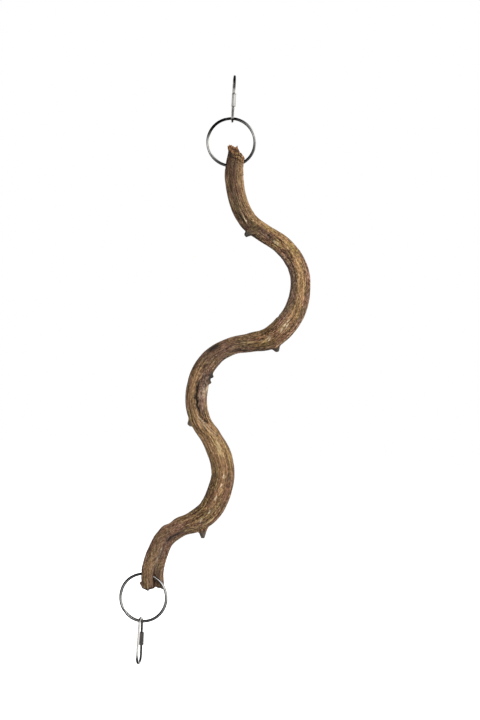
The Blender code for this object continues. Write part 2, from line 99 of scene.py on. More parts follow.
# Painted dark reflections of the links: distance along the wire from the gate's wide end, round both bows,
# and their strength.
UPPER_LINK_PAINTED_REFLECTION = ((0, 0.2), (7, 0.3), (10, 0.9), (26, 1), (36, 0.5), (48, 0))
LOWER_LINK_PAINTED_REFLECTION = ((0, 0.9), (18, 0.9), (24, 0.6), (34, 0.5), (42, 0), (80, 0),
                      (88, 0.9))
NUT_LENGTH = 13.0
NUT_WALL = 0.85
NUT_FIT = 0.25
NUT_FROM_NARROW_BOW = 16.5
NUT_COLUMNS = 96
NUT_CORNER_SHARE = 1.135
NUT_CONE_STEPS = (0.0, 0.08, 0.2, 0.35, 0.5, 0.65, 0.8, 0.95, 1.15, 1.4, 1.8, 2.6, 4.2)
NUT_CONE_LIP = 0.05
NUT_CONE_SWELL = 0.95
NUT_BORE_BEVEL = 0.12
NUT_BEVEL_REACH = 0.3
NUT_BORE_ROW = 1.0
# Painted dark reflections of the nut: on its faces turned to the left and right, and towards both ends.
NUT_SIDE_PAINTED_REFLECTION = 0.45
NUT_EDGE_FROM = 0.5
NUT_EDGE_FADE = 0.4
NUT_RIM_PAINTED_REFLECTION = 0.50
NUT_RIM_REACH = 1.2
NUT_RIM_FADE = 0.9
UPPER_NUT_TWIST = 30.0
LOWER_NUT_TWIST = 13.0

# Vine stem.  Rows run from the top end to the bottom end and are measured from the upper hole: right, back,
# up, then the width and the depth as shares of the stem's usual width.
STEM_WIDTH = 20.0
STEM_COURSE = (
    (1, 0, 13, 0.88, 0.82),
    (-1, 0, -5, 0.88, 0.84),
    (1, 1, -23, 0.91, 0.86),
    (7, 2, -41, 0.91, 0.87),
    (17, 3, -57, 0.90, 0.87),
    (32, 3, -67, 0.89, 0.86),
    (49, 2, -77, 0.95, 0.90),
    (62, 1, -90, 0.97, 0.92),
    (70, -1, -107, 0.97, 0.93),
    (71, -2, -126, 1.00, 0.95),
    (67, -3, -144, 1.07, 1.00),
    (57, -3, -160, 1.13, 1.04),
    (43, -2, -172, 1.10, 1.00),
    (25, -1, -177, 0.92, 0.90),
    (7, 1, -181, 0.88, 0.87),
    (-10, 2, -191, 0.96, 0.92),
    (-21, 3, -206, 1.04, 0.97),
    (-26, 3, -224, 1.05, 1.00),
    (-26, 2, -243, 1.06, 1.00),
    (-20, 1, -260, 1.00, 0.97),
    (-9, -1, -275, 1.02, 1.00),
    (0, -2, -292, 1.11, 1.05),
    (4, -3, -310, 1.13, 1.07),
    (1, -3, -328, 1.18, 1.10),
    (-7, -2, -346, 1.18, 1.09),
    (-20, 0, -358, 1.12, 1.04),
    (-36, 1, -366, 0.91, 0.90),
    (-51, 2, -378, 0.99, 0.93),
    (-58, 3, -395, 1.08, 0.95),
    (-62, 3, -412, 1.18, 0.97),
    (-61, 3, -428, 1.22, 0.97),
)
STEM_ROWS = 610
STEM_COLUMNS = 150
COURSE_STEPS = 40
LOBE_TILT = -21.0
LOBE_FROM_END = 75.0
# Drilled holes: their bars are carried along the joints' axes.
UPPER_HOLE_RADIUS = 3.27
UPPER_HOLE_LENGTH = 40.0
LOWER_HOLE_RADIUS = 2.79
LOWER_HOLE_LENGTH = 21.0
LOWER_HOLE_SHIFT = -2.33
HOLE_COLUMNS = 40
HOLE_ROWS = 24
# Hole walls: torn wood, darkened with painted shade.
HOLE_MASKS = {"deep": 0.55, "torn": 0.45}
# Edges of the two ends: distance right of the middle, then distance beyond the end point down the stem.
CUT_REACH = 24.0
TOP_EDGE = ((-9, -3.6), (-7.5, -4.4), (-4.7, -2.6), (0, -1.2), (3, 0.4), (5.5, 2.2), (6.6, 3.4),
            (9, 5))
BOTTOM_EDGE = ((-12, -2.6), (-10, -0.4), (-4.5, 2.5), (1.5, -0.4), (3, -1.4), (5, -0.9),
               (10, 0.2))
# Lean of the cuts: further down for each millimetre to the front, easing off at the top to the right.
TOP_LEAN = 0.34
TOP_LEAN_LOSS = 0.26
TOP_LEAN_FROM = -1.0
TOP_LEAN_FADE = 4.0
BOTTOM_LEAN = -0.05
TOP_FRAY = 1.1
BOTTOM_FRAY = 1.7
LONG_FRAY_SHARE = 0.8
FRAY_POWER = 6
SPLINTER_HEIGHT = 2.6
SPLINTER_ANGLE = 264.0
SPLINTER_SPREAD = 5.0
# Rows that close the cut ends: share of the rim's radius, and how deep the cut sinks at such shares.
CAP_SHARES = (0.96, 0.90, 0.80, 0.68, 0.54, 0.40, 0.27, 0.15, 0.06)
CAP_SINK = ((0, 4.4), (0.2, 4), (0.4, 3), (0.75, 2.2), (0.92, 0.9), (1, 0))
CAP_RUN = 12.0
CHIP_HEIGHT = 1.3
# Colours of the cut ends by share of the rim's radius: a dark pith and cut, whose dark at the top is partly
# painted shade in the hollow behind the lip, and a torn rim at the top.
PITH_SHARE = 0.36
PITH_FADE = 0.2
TOP_PITH_DARK = 0.95
TOP_CUT_DARK = 0.94
TOP_CUT_SHARE = 0.96
TOP_CUT_TORN = 0.20
TOP_RIM_TORN = 0.70
TOP_RIM_SHARE = 0.86
TOP_RIM_FADE = 0.12
BOTTOM_PITH_DARK = 0.85
BOTTOM_CUT_DARK = 0.55
BOTTOM_CUT_TORN = 0.30
# Bark folds round the top end: where they start and stop, their middle and spread, and their wave.
FOLD_START = 0.6
FOLD_START_FADE = 1.4
FOLD_STOP = 12.0
FOLD_STOP_FADE = 4.0
FOLD_MIDDLE = 66.0
FOLD_SPREAD = 48.0
FOLD_PERIOD = 4.2
FOLD_SHIFT = -1.0
FOLD_HEIGHT = 0.70
FOLD_SLOPE = 1.2
FOLD_SLOPE_ANGLE = 110.0
# How far the folds smooth the bark, and how they colour it: painted shade in their valleys, painted highlight
# on their crests.
FOLD_SMOOTHING = 0.6
FOLD_EDGE = 0.1
FOLD_EDGE_FADE = 0.6
FOLD_PAINTED_HIGHLIGHT = 0.2
FOLD_HIGHLIGHT_TAN = 0.5
FOLD_TAN_EDGE = 0.2
FOLD_TAN_FADE = 0.8
FOLD_TORN = 0.14
# Smoothed bark where the lower ring swings: its length from the bottom end, its middle and its half angle.
RING_ROOM_LENGTH = 40.0
RING_ROOM_FADE = 8.0
RING_ROOM_ANGLE = 20.0
RING_ROOM_HALF = 52.0
RING_ROOM_HALF_FADE = 10.0
RING_ROOM_DEPTH = 0.25
# Ragged bands at the ends: length, how far the fray moves the band's edge, and the edge's fade.
FRINGE_BAND = (2.6, 3.0, 1.6)
DARK_BAND = (1.6, 2.4, 1.4)
TORN_BAND = (0.5, 0.8, 0.6)
DARK_BAND_STRENGTH = 0.6
TORN_BAND_STRENGTH = 0.5
# Dark fringe of fibres at the bottom end: its middle and its half angle.
FRINGE_ANGLE = 160.0
FRINGE_HALF = 85.0
FRINGE_HALF_FADE = 25.0
# Long hollows: distance above the bottom end, angle from the right-hand side to the front, depth share.
HOLLOWS = (
    (268, 60, 0.00),
    (245, 68, 0.20),
    (225, 82, 0.26),
    (205, 68, 0.20),
    (185, 60, 0.00),
    (95, 36, 0.00),
    (70, 37, 0.22),
    (55, 45, 0.17),
    (40, 55, 0.24),
    (30, 60, 0.40),
    (20, 64, 0.62),
    (0, 64, 0.62),
)
HOLLOW_SPREAD_LEFT = 14.0
HOLLOW_SPREAD_RIGHT = 32.0
# Stubs of cut side shoots: root right, root up, tip right, tip up, all from the upper hole.
SHOOTS = (
    (24, -62, 13.5, -71),
    (46, -170, 52, -185),
    (-24, -252, -33, -263),
    (-13, -355, -13, -375),
)
SHOOT_ROOT_BACK = -1.0
SHOOT_TIP_BACK = -2.0
SHOOT_ROOT_RADIUS = 6.2
SHOOT_TIP_RADIUS = 1.9
SHOOT_POWER = 2.4
STUB_FROM = 0.20
STUB_FADE = 0.3
# Lumps and buds: distance from the top end, angle, height, half length, half angle.
LUMPS = (
    (0, 178, 1.7, 3, 38),
    (128, 240, 1, 6, 30),
    (232, 75, 0.6, 9, 26),
    (304, 12, 2.3, 2.4, 14),
    (312, 10, 2, 2, 12),
    (390, 285, 1.1, 5, 26),
    (487, 178, 1.5, 6, 44),
    (500, 178, 1.3, 4, 44),
    (555, 184, 2.6, 2.2, 16),
    (556, 180, -1.9, 18, 46),
    (554, -8, 1, 22, 30),
)
# Lattices of the bark: places round the stem, length of a cell, seed.
WANDER_CELLS = (7, 34.0, 11)
BROAD_CELLS = (5, 26.0, 21)
STRAND_CELLS = (13, 38.0, 31)
RIB_CELLS = (30, 20.0, 41)
FIBRE_CELLS = (62, 9.0, 51)
FLAKE_CELLS = (19, 12.0, 61)
CRACK_CELLS = (13, 46.0, 71)
FRAY_CELLS = (44, 4.0, 81)
LONG_FRAY_CELLS = (17, 6.0, 82)
CHIP_CELLS = (26, 2.5, 91)
WOBBLE_CELLS = (9, 3.6, 101)
FINE_WOBBLE_CELLS = (17, 1.5, 102)
CRUMB_CELLS = (46, 2.6, 111)
# Heights of the bark's relief, and how far its strands wander and twist round the stem.
BROAD_HEIGHT = 0.9
STRAND_HEIGHT = 0.6
RIB_HEIGHT = 0.42
FIBRE_HEIGHT = 0.30
FLAKE_HEIGHT = 0.16
CRACK_DEPTH = 0.50
CRUMB_HEIGHT = 0.8
CREST_LEVEL = 0.6
FLAKE_FROM = 0.60
FLAKE_FADE = 0.06
CRACK_FROM = 0.90
CRACK_FADE = 0.08
# Painted shade in the cracks, and painted light and shade on the ribs and fibres: lighter on their crests.
CRACK_PAINTED_SHADE = 0.20
DARKEST = 0.95
RIB_PAINTED_LIGHT = 0.75
FIBRE_PAINTED_LIGHT = 0.5
BASE_TONE = 0.12
WANDER_TURNS = 0.05
TWIST_PER_MM = 0.00035
WOBBLE_ANGLE = 15.0
FINE_WOBBLE_ANGLE = 8.0
CREAM_WOBBLE = 0.4
# Seams along the stem: rows of distance, angle and height (below zero for a slit), then the half angle.
SEAMS = (
    (((298, 66, 0), (304, 70, -1.4), (310, 78, -2.2), (316, 80, -2.6), (323, 87, -3.2), (329, 83, -2.8),
      (334, 88, -3.4), (341, 82, -2.6), (347, 80, -2.6), (355, 71, -1.8), (364, 62, 0)), 8.5),
    (((340, 60, 0), (347, 62, -1.4), (353, 58, -0.3), (357, 60, -1.2), (363, 54, 0)), 5),
    (((334, 110, 0), (346, 97, 0.9), (354, 84, 1.4), (367, 62, 1.2), (384, 45, 0)), 6),
    (((352, 104, 0), (362, 88, 0.7), (374, 66, 0.6), (388, 52, 0)), 4.5),
    (((470, 62, 0), (484, 66, -0.5), (500, 66, -1.3), (512, 70, -0.5), (526, 72, -0.7), (540, 72, -1),
      (559, 70, -1)), 6),
    (((212, 2, 0), (224, 8, -0.8), (246, 28, -1.1), (262, 50, -0.6), (276, 60, 0)), 6.5),
    (((392, 136, 0), (408, 132, -0.7), (424, 128, -0.6), (446, 122, 0)), 5),
    (((120, 232, 0), (150, 250, -1.2), (185, 262, -1), (225, 255, 0)), 6),
    (((330, 262, 0), (365, 250, -1.3), (400, 262, -1), (440, 270, 0)), 6),
    (((20, 250, 0), (45, 262, -0.9), (75, 255, 0)), 6),
)
# Coloured strips of the bark: rows of distance, angle and strength, then the half angle.  One with a half
# angle past a full turn goes all the way round.
TAN_STRIPS = (
    (((6, 44, 0.1), (14, 50, 0.6), (30, 46, 0.4), (60, 46, 0.4), (76, 44, 0.5), (89, 38, 1), (102, 34, 1),
      (127, 58, 1), (142, 74, 1), (158, 87, 1), (172, 88, 0.9), (190, 91, 0.7), (200, 92, 0.4),
      (220, 89, 0.15), (240, 90, 0)), 24),
    (((290, 118, 0), (305, 118, 0.7), (323, 112, 1), (334, 115, 1), (350, 105, 0.8), (372, 84, 1),
      (405, 86, 1), (425, 89, 0.5), (452, 93, 0.2), (475, 81, 0)), 20),
    (((352, 70, 0), (368, 74, 0.6), (400, 80, 0.6), (420, 84, 0)), 75),
    # Painted highlight along the right-hand edge of the upper stem.
    (((8, 8, 1), (30, 8, 1.1), (60, 6, 1.1), (100, 6, 0.9), (135, 20, 0)), 34),
    (((345, 160, 0), (365, 158, 0.9), (400, 154, 0.8), (425, 152, 0)), 32),
    (((500, 118, 0), (523, 104, 0.7), (535, 106, 1), (552, 112, 0.8), (559, 112, 0.6)), 24),
    (((228, 132, 0), (235, 134, 0.6), (245, 134, 0.6), (254, 134, 0)), 22),
    (((457, 120, 0), (463, 120, 0.32), (472, 120, 0.32), (480, 118, 0)), 22),
    (((150, 290, 0), (200, 280, 0.8), (260, 270, 0)), 26),
    (((360, 230, 0), (420, 240, 0.8), (480, 260, 0)), 24),
)
RUST_STRIPS = (
    (((395, 84, 0), (405, 84, 1), (415, 70, 0.5), (431, 51, 0.8), (446, 40, 0.4), (458, 35, 0)), 15),
    (((300, 46, 0), (310, 50, 1), (323, 49, 1), (335, 50, 0.9), (350, 55, 0)), 17),
    (((308, 134, 0), (322, 136, 0.7), (338, 134, 0.7), (352, 128, 0)), 22),
    (((3, 95, 0), (7, 98, 0.9), (20, 98, 0.7), (40, 100, 0.4), (60, 100, 0)), 40),
    (((8, 84, 0), (12, 82, 1.2), (24, 82, 1), (34, 84, 0)), 14),
    (((250, 110, 0), (266, 112, 0.7), (290, 125, 0.6), (312, 130, 0)), 36),
    (((470, 110, 0), (490, 112, 0.6), (512, 110, 0.4), (530, 110, 0)), 50),
    (((536, 84, 0), (546, 84, 1), (559, 84, 0.7)), 16),
    (((205, 60, 0), (216, 62, 0.8), (230, 66, 0)), 30),
    (((84, 100, 0), (94, 95, 0.6), (104, 100, 0)), 16),
)
ASH_STRIPS = (
    (((271, 128, 0), (275, 130, 1.2), (282, 135, 1.2), (288, 140, 0)), 22),
    (((282, 112, 0), (291, 114, 0.7), (302, 110, 0)), 22),
    (((214, 2, 0), (224, 8, 0.9), (246, 28, 1), (262, 50, 0.8), (276, 60, 0)), 10),
    (((480, 62, 0), (490, 64, 1.1), (501, 64, 1.4), (508, 66, 0.5), (516, 68, 0)), 12),
    (((534, 50, 0), (545, 50, 0.5), (551, 50, 0.7), (559, 48, 0.4)), 20),
    (((398, 134, 0), (412, 132, 0.3), (425, 128, 0.3), (442, 125, 0)), 10),
    (((122, 112, 0), (140, 117, 0.7), (178, 120, 0.7), (205, 120, 0)), 6),
    (((128, 46, 0), (146, 52, 0.7), (185, 55, 0.7), (212, 58, 0)), 4.5),
    (((297, 28, 0), (302, 24, 1.8), (308, 20, 2.2), (317, 12, 0)), 16),
    (((295, 36, 0), (299, 34, 1.4), (304, 31, 0)), 9),
    (((304, 32, 0), (309, 35, 1.5), (315, 39, 0)), 10),
    (((303, 4, 0), (306, 2, 0.9), (313, 0, 0)), 11),
    (((300, 40, 0), (309, 48, 0.5), (317, 50, 0.6), (325, 52, 0.2), (336, 52, 0.3), (345, 50, 0.15),
      (356, 52, 0)), 16),
    (((6, 100, 0), (12, 98, 0.6), (40, 98, 0.6), (75, 106, 0.4), (100, 120, 0)), 62),
    (((236, 80, 0), (260, 85, 0.35), (290, 90, 0.35), (304, 90, 0)), 75),
    (((488, 56, 0), (506, 56, 0.3), (559, 50, 0.4)), 60),
    # Painted shade under the top lip.
    (((2.6, 130, 0), (3.6, 132, 1.1), (7, 130, 1), (10, 126, 0)), 34),
)
MAUVE_STRIPS = (
    (((298, 56, 0), (306, 56, 0.9), (322, 57, 1), (334, 58, 0.9), (346, 58, 0.55), (360, 56, 0)), 28),
    (((236, 60, 0), (250, 66, 0.2), (270, 80, 0.35), (292, 90, 0.3), (305, 90, 0)), 60),
    (((474, 60, 0), (490, 70, 0.35), (520, 75, 0.45), (545, 75, 0.4), (559, 75, 0.4)), 70),
    (((84, 100, 0), (92, 96, 0.7), (100, 92, 0.6), (108, 90, 0)), 20),
    (((112, 148, 0), (130, 146, 0.7), (165, 146, 0.7), (200, 146, 0.5), (222, 146, 0)), 30),
    (((128, 26, 0), (148, 30, 0.4), (185, 32, 0.4), (215, 36, 0)), 18),
)
CREAM_STRIPS = (
    (((104, 101, 0), (106.5, 101, 0.35), (111, 101, 0.35), (113.5, 101, 0)), 9),
    (((376, 78, 0), (382, 78, 0.3), (392, 80, 0.3), (398, 82, 0)), 10),
    (((64, 101, 0), (65.5, 101, 1.3), (71.5, 104, 1.3), (73, 104, 0)), 3),
    (((196, 93, 0), (197.5, 93, 0.8), (200.5, 95, 0.8), (202, 95, 0)), 3.4),
    (((201, 96, 0), (202.5, 96, 0.8), (205, 95, 0.8), (207, 95, 0)), 3.4),
    (((200, 85, 0), (201.5, 84, 0.8), (205.5, 81, 0.8), (207, 81, 0)), 3.4),
    (((207, 94, 0), (208.5, 93, 0.8), (211, 86, 0.8), (213, 85, 0)), 3.4),
    (((221, 104, 0), (222.5, 101, 1), (226.5, 91, 1), (228, 89, 0)), 2.6),
    (((221.5, 91, 0), (223, 88, 1), (226, 80, 1), (227.5, 78, 0)), 2.6),
    (((314, 24, 0), (319, 24, 1), (325, 26, 0)), 8),
    (((319, 42, 0), (323, 43, 0.4), (329, 44, 0.4), (333, 45, 0)), 8),
    (((346, 98, 0), (352, 88, 0.7), (366, 64, 0.45), (378, 52, 0)), 3.4),
    (((352, 103, 0), (358, 94, 0.4), (370, 73, 0.4), (384, 56, 0)), 3.2),
    (((413, 83, 0), (414.5, 83, 1), (416.5, 85, 1), (418, 85, 0)), 3.8),
    (((422, 85, 0), (423, 86, 0.9), (425, 90, 0.9), (426.5, 91, 0)), 3.4),
    (((434, 96, 0), (436, 96, 0.8), (439, 94, 0.8), (441, 94, 0)), 3.4),
    (((450, 90, 0), (451.5, 90, 1), (453.5, 88, 1), (455, 88, 0)), 3.8),
    (((461, 89, 0), (462.5, 87, 1), (465, 76, 1), (467, 70, 0)), 3.6),
    (((514, 78, 0), (516, 78, 0.8), (519, 76, 0.8), (521, 76, 0)), 3.4),
    (((524, 76, 0), (526, 76, 0.8), (530, 74, 0.8), (532, 74, 0)), 3.4),
)
OCHRE_STRIPS = (
    (((88, 48, 0), (92, 46, 1), (98, 46, 1.1), (104, 46, 0)), 13),
    (((113, 50, 0), (119, 54, 1.3), (127, 57, 1.3), (133, 57, 0)), 14),
    (((102, 102, 0), (108, 102, 0.7), (116, 102, 0)), 13),
    (((373, 75, 0), (383, 75, 0.9), (397, 80, 0)), 14),
    (((200, 60, 0), (240, 70, 0.2), (270, 90, 0)), 22),
)
DARK_STRIPS = (
    (((76, 140, 0), (82, 138, 0.5), (92, 136, 0.5), (100, 134, 0)), 24),
    (((264, 54, 0), (270, 53, 0.45), (280, 52, 0.45), (288, 52, 0)), 22),
    (((216, 44, 0), (222, 46, 0.42), (234, 58, 0.42), (242, 60, 0)), 22),
    (((40, 112, 0), (50, 106, 0.26), (60, 104, 0.26), (70, 104, 0)), 36),
    (((504, 70, 0), (509, 69, 0.36), (516, 69, 0.36), (524, 70, 0)), 18),
    (((300, 72, 0), (304, 69, 0.3), (310, 67, 0.3), (315, 64, 0)), 12),
    (((424, 58, 0), (430, 56, 0.24), (438, 52, 0.24), (446, 50, 0)), 18),
    (((446, 92, 0), (453, 90, 0.2), (462, 88, 0.2), (470, 86, 0)), 24),
    (((2.5, 118, 0), (4.5, 110, 0.5), (10, 102, 0.5), (13, 104, 0.25), (20, 104, 0.1), (24, 104, 0)), 42),
    (((125, 140, 0), (150, 142, 0.2), (190, 142, 0.2), (215, 142, 0)), 24),
    (((72, 106, 0), (78, 98, 0.35), (86, 90, 0.35), (94, 90, 0)), 22),
    (((89, 88, 0), (91, 89, 0.8), (94, 89, 0.8), (95.5, 89, 0)), 6),
    (((95.5, 89, 0), (97, 89, 0.9), (101, 90, 0.9), (103, 90, 0)), 8),
    # Painted shade in the long hollow's slit.
    (((310, 80, 0), (315, 85, 1), (328, 88, 1.1), (336, 87, 1.1), (342, 84, 1), (347, 80, 0)), 11.5),
    (((346, 82, 0), (349, 79, 1), (353, 74, 0.8), (356, 72, 0)), 6),
    (((353, 68, 0), (356, 64, 1), (358, 58, 0.9), (361, 54, 0)), 7),
    (((302, 58, 0), (306, 55, 0.9), (310, 54, 0)), 6),
    (((312, 50, 0), (315, 48, 0.9), (319, 46, 0)), 6),
    (((470, 62, 0), (484, 66, 0.3), (500, 66, 0.8), (512, 70, 0.2), (540, 72, 0.35), (559, 70, 0.35)), 6),
    (((212, 2, 0), (224, 8, 0.5), (246, 28, 0.7), (262, 50, 0.3), (276, 60, 0)), 6.5),
    (((392, 136, 0), (408, 132, 0.35), (424, 128, 0.3), (446, 122, 0)), 5),
    # Painted shadow beside the pale chips.
    (((222, 97, 0), (224, 93, 0.7), (227, 85, 0)), 3),
    (((272, 128, 0), (276, 130, 0.5), (282, 134, 0.5), (287, 138, 0)), 20),
    (((8, 102, 0), (14, 98, 0.12), (58, 98, 0.12), (72, 100, 0)), 40),
    (((200, 88, 0), (214, 86, 0.12), (248, 84, 0.12), (262, 84, 0)), 42),
    (((476, 62, 0), (490, 60, 0.17), (542, 58, 0.17), (558, 56, 0.05)), 58),
    (((120, 232, 0), (150, 250, 0.7), (185, 262, 0.6), (225, 255, 0)), 6),
    (((330, 262, 0), (365, 250, 0.8), (400, 262, 0.6), (440, 270, 0)), 6),
)
STRAIGHT_STRIPS = (
    (((0, 90, 1), (62, 90, 1), (84, 90, 0)), 400),
    (((296, 90, 0), (316, 90, 0.8), (400, 90, 0.8), (425, 90, 0)), 400),
)
TORN_STRIPS = (
    (((0, 150, 1), (2.2, 148, 1), (3.6, 144, 0)), 40),
    (((0, 24, 0.4), (5, 18, 0.2), (9, 10, 0)), 24),
)
BELL = 2.0
FLAT_TOPPED = 4.0

# Noises: cells to the metre across the third axis and along it, detail, roughness.
STRAND_NOISE = (230.0, 24.0, 4.0, 0.6)
FIBRE_NOISE = (860.0, 52.0, 4.0, 0.6)
FLECK_NOISE = (1450.0, 400.0, 4.0, 0.6)
FINE_NOISE = (3200.0, 420.0, 3.0, 0.6)
CLOUD_NOISE = (95.0, 46.0, 4.0, 0.55)
HUE_NOISE = (150.0, 62.0, 4.0, 0.6)
GRIT_NOISE = (1050.0, 400.0, 1.0, 0.5)
CRUMB_NOISE = (560.0, 330.0, 4.0, 0.7)
STEEL_CLOUD_NOISE = (260.0, 260.0, 5.0, 0.55)
STEEL_RUBBING_NOISE = (5200.0, 900.0, 3.0, 0.55)
STEEL_SPECK_NOISE = (1900.0, 1900.0, 2.0, 0.55)

# Colours as red, green and blue in linear light; a ramp's stops each have their place before them.
BARK_TONES = (
    (0.39, (0.015, 0.009, 0.006)),
    (0.45, (0.054, 0.030, 0.017)),
    (0.50, (0.140, 0.079, 0.039)),
    (0.55, (0.290, 0.178, 0.090)),
    (0.61, (0.560, 0.412, 0.255)),
)
MOTTLE_TONES = ((0.38, (0.034, 0.016, 0.011)), (0.49, (0.180, 0.092, 0.066)), (0.60, (0.510, 0.385, 0.300)))
TORN_TONES = ((0.36, (0.06, 0.018, 0.005)), (0.50, (0.30, 0.125, 0.048)), (0.62, (0.52, 0.28, 0.130)))
REDDISH = (1.08, 0.85, 0.91)
OLIVE = (0.98, 1.03, 0.73)
GREY_CLOUD = (0.125, 0.100, 0.078)
TAN_WASH = (0.33, 0.195, 0.092)
WORN_TAN_AND_HIGHLIGHT = (0.445, 0.265, 0.118)
OCHRE = (0.440, 0.300, 0.090)
RUST = (0.205, 0.098, 0.062)
ASH = (0.040, 0.034, 0.030)
DARK_FLECK = (0.034, 0.022, 0.015)
PALE_DASH = (0.58, 0.43, 0.25)
CREAM = (0.78, 0.63, 0.43)
STUB_GREY = (0.080, 0.074, 0.062)
# Dark of the deep mask: the pith and cut, darker bark, and painted shade in cracks, slits, folds and holes.
SLIT_DARK = (0.016, 0.011, 0.008)
BARK_SHEEN = (1.0, 0.96, 0.90)
STAIN_BROWN = (0.30, 0.25, 0.20)
SPECK_GREY = (0.22, 0.20, 0.18)
PAINTED_REFLECTION_BLACK = (0.030, 0.027, 0.025)
RING_PLATE = (0.72, 0.71, 0.69)
LINK_PLATE = (0.70, 0.68, 0.65)
NUT_PLATE = (0.68, 0.67, 0.63)
# Darkened copy of the nut plate, for the lower nut: painted shade.
SHADED_NUT_PLATE = (0.13, 0.125, 0.12)
WHITE = (1.0, 1.0, 1.0)
SOFT_SKY = (0.94, 0.98, 1.06)
FLOOR_PAINT = (0.82, 0.82, 0.82)

# Studio: camera straight in front of the object and rolled a little, and lamps by place and power.
CAMERA_AIM = (0.02018, 0.0, -0.28183)
CAMERA_DISTANCE = 3.0
CAMERA_ROLL = 3.0
CAMERA_REACH = 100.0
SENSOR_WIDTH = 36.0
LENS = 150.0
LAMP_SIZE = 1.2
LAMPS = (
    ("front_lamp", (1.15, -2.3, 0.85), 66.0),
    ("right_lamp", (2.4, -0.5, 0.1), 16.0),
    ("left_lamp", (-1.6, -2.2, 0.2), 6.0),
    ("back_lamp", (-0.4, 2.4, 0.7), 34.0),
)
FLOOR_REACH = 9.0
FLOOR_LEVEL = -0.66
FLOOR_GLOW = 0.93
SKY_LEVEL = 0.14
PANEL_LEVEL = 1.35
ROOM_LEVEL = 0.012
# Patches of the room that the metal mirrors: each brightens over some ranges of the direction's parts.
RIGHT_PANEL = (("X", 0.22, 0.48), ("Z", -0.20, -0.09), ("Z", 0.75, 0.50))
LEFT_PANEL = (("X", -0.72, -0.90), ("Z", -0.45, -0.25), ("Z", 0.22, 0.05))
NEAR_PANEL = (("X", -0.42, -0.30), ("X", 0.02, -0.06), ("Z", -0.12, -0.02), ("Z", 0.24, 0.16),
              ("Y", -0.40, -0.70, 0.0, 1.9))
FRONT_GROUND = (("Y", -0.80, -0.95), ("Z", -0.088, -0.102, 0.0, 0.85))
WHITE_BEHIND = (("Y", 0.55, 0.80),)

record = frame["record"]
joints = {row["name"]: row for row in record["behaviour"]["joints"]}
mounts = {row["name"]: row for row in record["mounts"]}
UP = np.array((0.0, 0.0, 1.0))
UPPER_BACK = np.array(joints["upper_ring_swing"]["axis"])
LOWER_BACK = np.array(joints["lower_link_swing"]["axis"])


def place_of(row):
    """Place of a joint or mount in millimetres."""
    return np.array(row["pos_m"]) / MM


def middle_of(node):
    """Middle of a CAD node's box in millimetres."""
    low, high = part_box(node)
    return (np.array(low) + np.array(high)) / 2.0 / MM


def ease(share):
    """Smooth step: zero below 0, one above 1, level at both ends."""
    share = np.clip(share, 0.0, 1.0)
    return share * share * (3.0 - 2.0 * share)


def bell(offset, spread, power=BELL):
    """Bell curve: one at the middle, falling off over the spread, flatter on top with more power."""
    return np.exp(-np.abs(offset / spread) ** power)


def inside(offset, half, fade):
    """One within a half width, easing to zero over the fade at its edge."""
    return ease((half - np.abs(offset)) / fade)


def unit(rows):
    """Rows of vectors at length one."""
    return rows / np.linalg.norm(rows, axis=-1, keepdims=True)


def full_turn(count):
    """Angles in radians at equal steps round a full turn."""
    return np.arange(count) * 2.0 * math.pi / count


def follow(table, at):
    """Value at a place in a table of pairs, its rows joined by lines."""
    return np.interp(at, *np.array(table).T)


def distances(line):
    """Distance of each point of a line from its first point, measured along it."""
    return np.concatenate(((0.0,), np.cumsum(np.linalg.norm(np.diff(line, axis=0), axis=1))))


def rows_at(rows, run, at):
    """Rows of a line taken at new distances along it."""
    return np.stack([np.interp(at, run, column) for column in rows.T], axis=1)


def put_mesh(name, points, loop=False):
    """Mesh over a grid of points in millimetres: columns close round, rows close too when loop is true.

    An open row of rings is closed at each end by a fan to the middle of its last ring.
    """
    rows, columns = points.shape[:2]
    row = np.arange(rows if loop else rows - 1)[:, None] * columns
    below = np.arange(1, rows + 1 if loop else rows)[:, None] % rows * columns
    column = np.arange(columns)[None, :]
    beside = (column + 1) % columns
    quads = np.stack((row + column, row + beside, below + beside, below + column), axis=-1).reshape(-1, 4)
    vertices = points.reshape(-1, 3)
    fans = np.zeros((0, 3), dtype=int)
    if not loop:
        vertices = np.vstack((vertices, points[0].mean(axis=0), points[-1].mean(axis=0)))
        first = np.full(columns, rows * columns)
        ring, next_ring = column[0], beside[0]
        last = (rows - 1) * columns
        fans = np.vstack((np.stack((first, next_ring, ring), axis=1),
                          np.stack((first + 1, last + ring, last + next_ring), axis=1)))
    sizes = np.concatenate((np.full(len(quads), 4), np.full(len(fans), 3)))
    corners = np.concatenate((quads.ravel(), fans.ravel()))
    mesh = bpy.data.meshes.new(name)
    mesh.vertices.add(len(vertices))
    mesh.vertices.foreach_set("co", (vertices * MM).astype(np.float32).ravel())
    mesh.loops.add(len(corners))
    mesh.loops.foreach_set("vertex_index", corners.astype(np.int32))
    mesh.polygons.add(len(sizes))
    mesh.polygons.foreach_set("loop_start", (np.cumsum(sizes) - sizes).astype(np.int32))
    mesh.update(calc_edges=True)
    mesh.polygons.foreach_set("use_smooth", np.ones(len(sizes), dtype=bool))
    return mesh


def put_attribute(mesh, name, values):
    """Point attribute of a mesh: one number or one vector for each vertex."""
    kind, key = ("FLOAT_VECTOR", "vector") if values.ndim == 2 else ("FLOAT", "value")
    layer = mesh.attributes.new(name, kind, "POINT")
    layer.data.foreach_set(key, values.astype(np.float32).ravel())


def put_wire_attribute(mesh, name, grid):
    """Attribute of a wire's grid of points and of the two end points that close it."""
    put_attribute(mesh, name, np.concatenate((grid.ravel(), grid[0, :1], grid[-1, :1])))


def put_piece(name, mesh, material, body):
    """Object of a finished mesh that stands for its body's CAD node and moves with it."""
    mesh.materials.clear()
    mesh.materials.append(material)
    mesh.set_sharp_from_angle(angle=math.radians(SHARP_ANGLE))
    piece = bpy.data.objects.new(name, mesh)
    bpy.context.scene.collection.objects.link(piece)
    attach(piece, body)
    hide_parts(body)
    return piece


